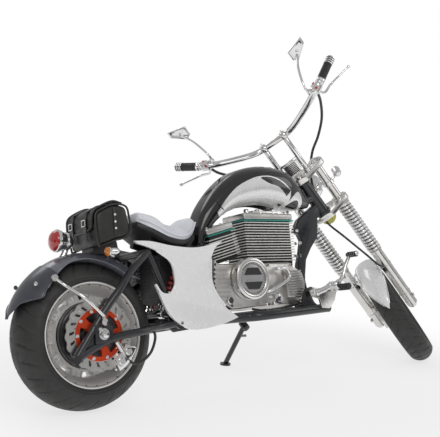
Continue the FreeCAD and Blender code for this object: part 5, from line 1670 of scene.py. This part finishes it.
brake = {
    "middle": 265, "outer": 148, "inner": 100, "pistons": 124, "angle": -43, "plates": ((101, 115, 3), (125, 146, 5)),
    "bridge": ((12, -121, -10), (30, 40, 22)), "arm": [(96, -137, 168), (84, -138, 196), (60, -140, 236)],
    "hose": [(100, -142, 171), (126, -140, 154), (164, -138, 160), (202, -137, 190), (222, -137, 236),
             (221, -131, 266)],
}


def brakePieces(size):
    turn = math.radians(size["angle"])

    def at(radius, angle):
        return radius * math.cos(angle), size["middle"] + radius * math.sin(angle)

    outline = [at(size["outer"], turn + math.radians(-21 + 42 * step / 12)) for step in range(13)]
    outline += [at(size["inner"], turn + math.radians(20 - 40 * step / 12)) for step in range(13)]
    form = bmesh.new()
    for low, high, width in size["plates"]:
        plate(form, outline, low, high, width)
    x, z = at(size["pistons"], turn)
    shift, box = size["bridge"]
    block(form, Vector((x, 0, z)) + Vector(shift), box)
    for step in (-1, 1):
        x, z = at(size["pistons"], turn + math.radians(10) * step)
        roundBar(form, (x, -140, z), (x, -151, z), 13, 3)
    tube(form, size["arm"], 9, 14)
    bikePart("rearCaliper", form, chrome, ["rear_caliper"], sharp=35)
    hose = bmesh.new()
    tube(hose, size["hose"], 5, 12)
    bikePart("rearHose", hose, blackPlastic, sharp=35)


foot = {
    "bracket": [(1030, 300), (1076, 296), (1108, 330), (1126, 372), (1124, 408), (1096, 410), (1050, 384), (1000, 388),
                (968, 376), (975, 350), (1018, 340)], "bracketOut": 176,
    "metal": [
        ([(1108, 170, 392), (1108, 214, 392)], 17, 3), ([(1010, 168, 366), (1010, 186, 366)], 14, 2),
        ([(985, 192, 362), (1046, 195, 379)], 12, 3), ([(1046, 195, 379), (1066, 196, 385)], 8, 2),
        ([(1066, 196, 385), (1100, 202, 404), (1140, 206, 424)], 5, 12),
        ([(1108, 206, 392), (1138, 210, 426), (1162, 212, 476), (1188, 214, 516)], 8, 16),
        ([(1140, 200, 424), (1140, 220, 424)], 9, 2), ([(1122, 184, 380), (1122, 200, 381)], 14, 2),
        ([(1188, 198, 518), (1188, 262, 522)], 10.5, 3)],
    "peg": [([(1122, 198, 381), (1122, 262, 384)], 13.5, 3)],
    "pegRings": [([(1122, 206 + 9 * index, 381.6), (1122, 210 + 9 * index, 381.8)], 15, 1) for index in range(6)],
    "pedalRings": [([(1188, 206 + 11 * index, 519), (1188, 212 + 11 * index, 519.6)], 12.5, 1) for index in range(5)],
}


def footPieces(size):
    metal, pads, arms = bmesh.new(), bmesh.new(), bmesh.new()
    for side in (-1, 1):
        plate(arms, size["bracket"], -side * size["bracketOut"] - 5, -side * size["bracketOut"] + 5)
        rods(metal, side, size["metal"])
        rods(pads, side, size["peg"] + size["pegRings"] + size["pedalRings"])
    bikePart("footBrackets", arms, brightAlloy, ["foot_controls"], sharp=35)
    bikePart("footLevers", metal, chrome, sharp=35)
    bikePart("footPads", pads, blackPlastic, sharp=35)


tray = {
    "at": (352, 0, 452), "box": (100, 156, 190), "round": 8,
    "rib": (106, 162, 5), "ribs": 14, "first": 370, "pitch": 12.5,
}


def trayPiece(size):
    # The ribbed box behind the dampers
    form = bmesh.new()
    block(form, size["at"], size["box"])
    soften(form, size["round"], 3)
    for index in range(size["ribs"]):
        block(form, (size["at"][0], 0, size["first"] + size["pitch"] * index), size["rib"])
    bikePart("underSeatTray", form, blackPlastic, sharp=35)


springRed = metalFinish("springRed", (0.36, 0.010, 0.012), (0.24, 0.006, 0.008), 0.30, metallic=0.1, coat=0.6)
tailPieces(tail)
damperPieces(damper)
brakePieces(brake)
footPieces(foot)
trayPiece(tray)
print("rear and foot parts made")
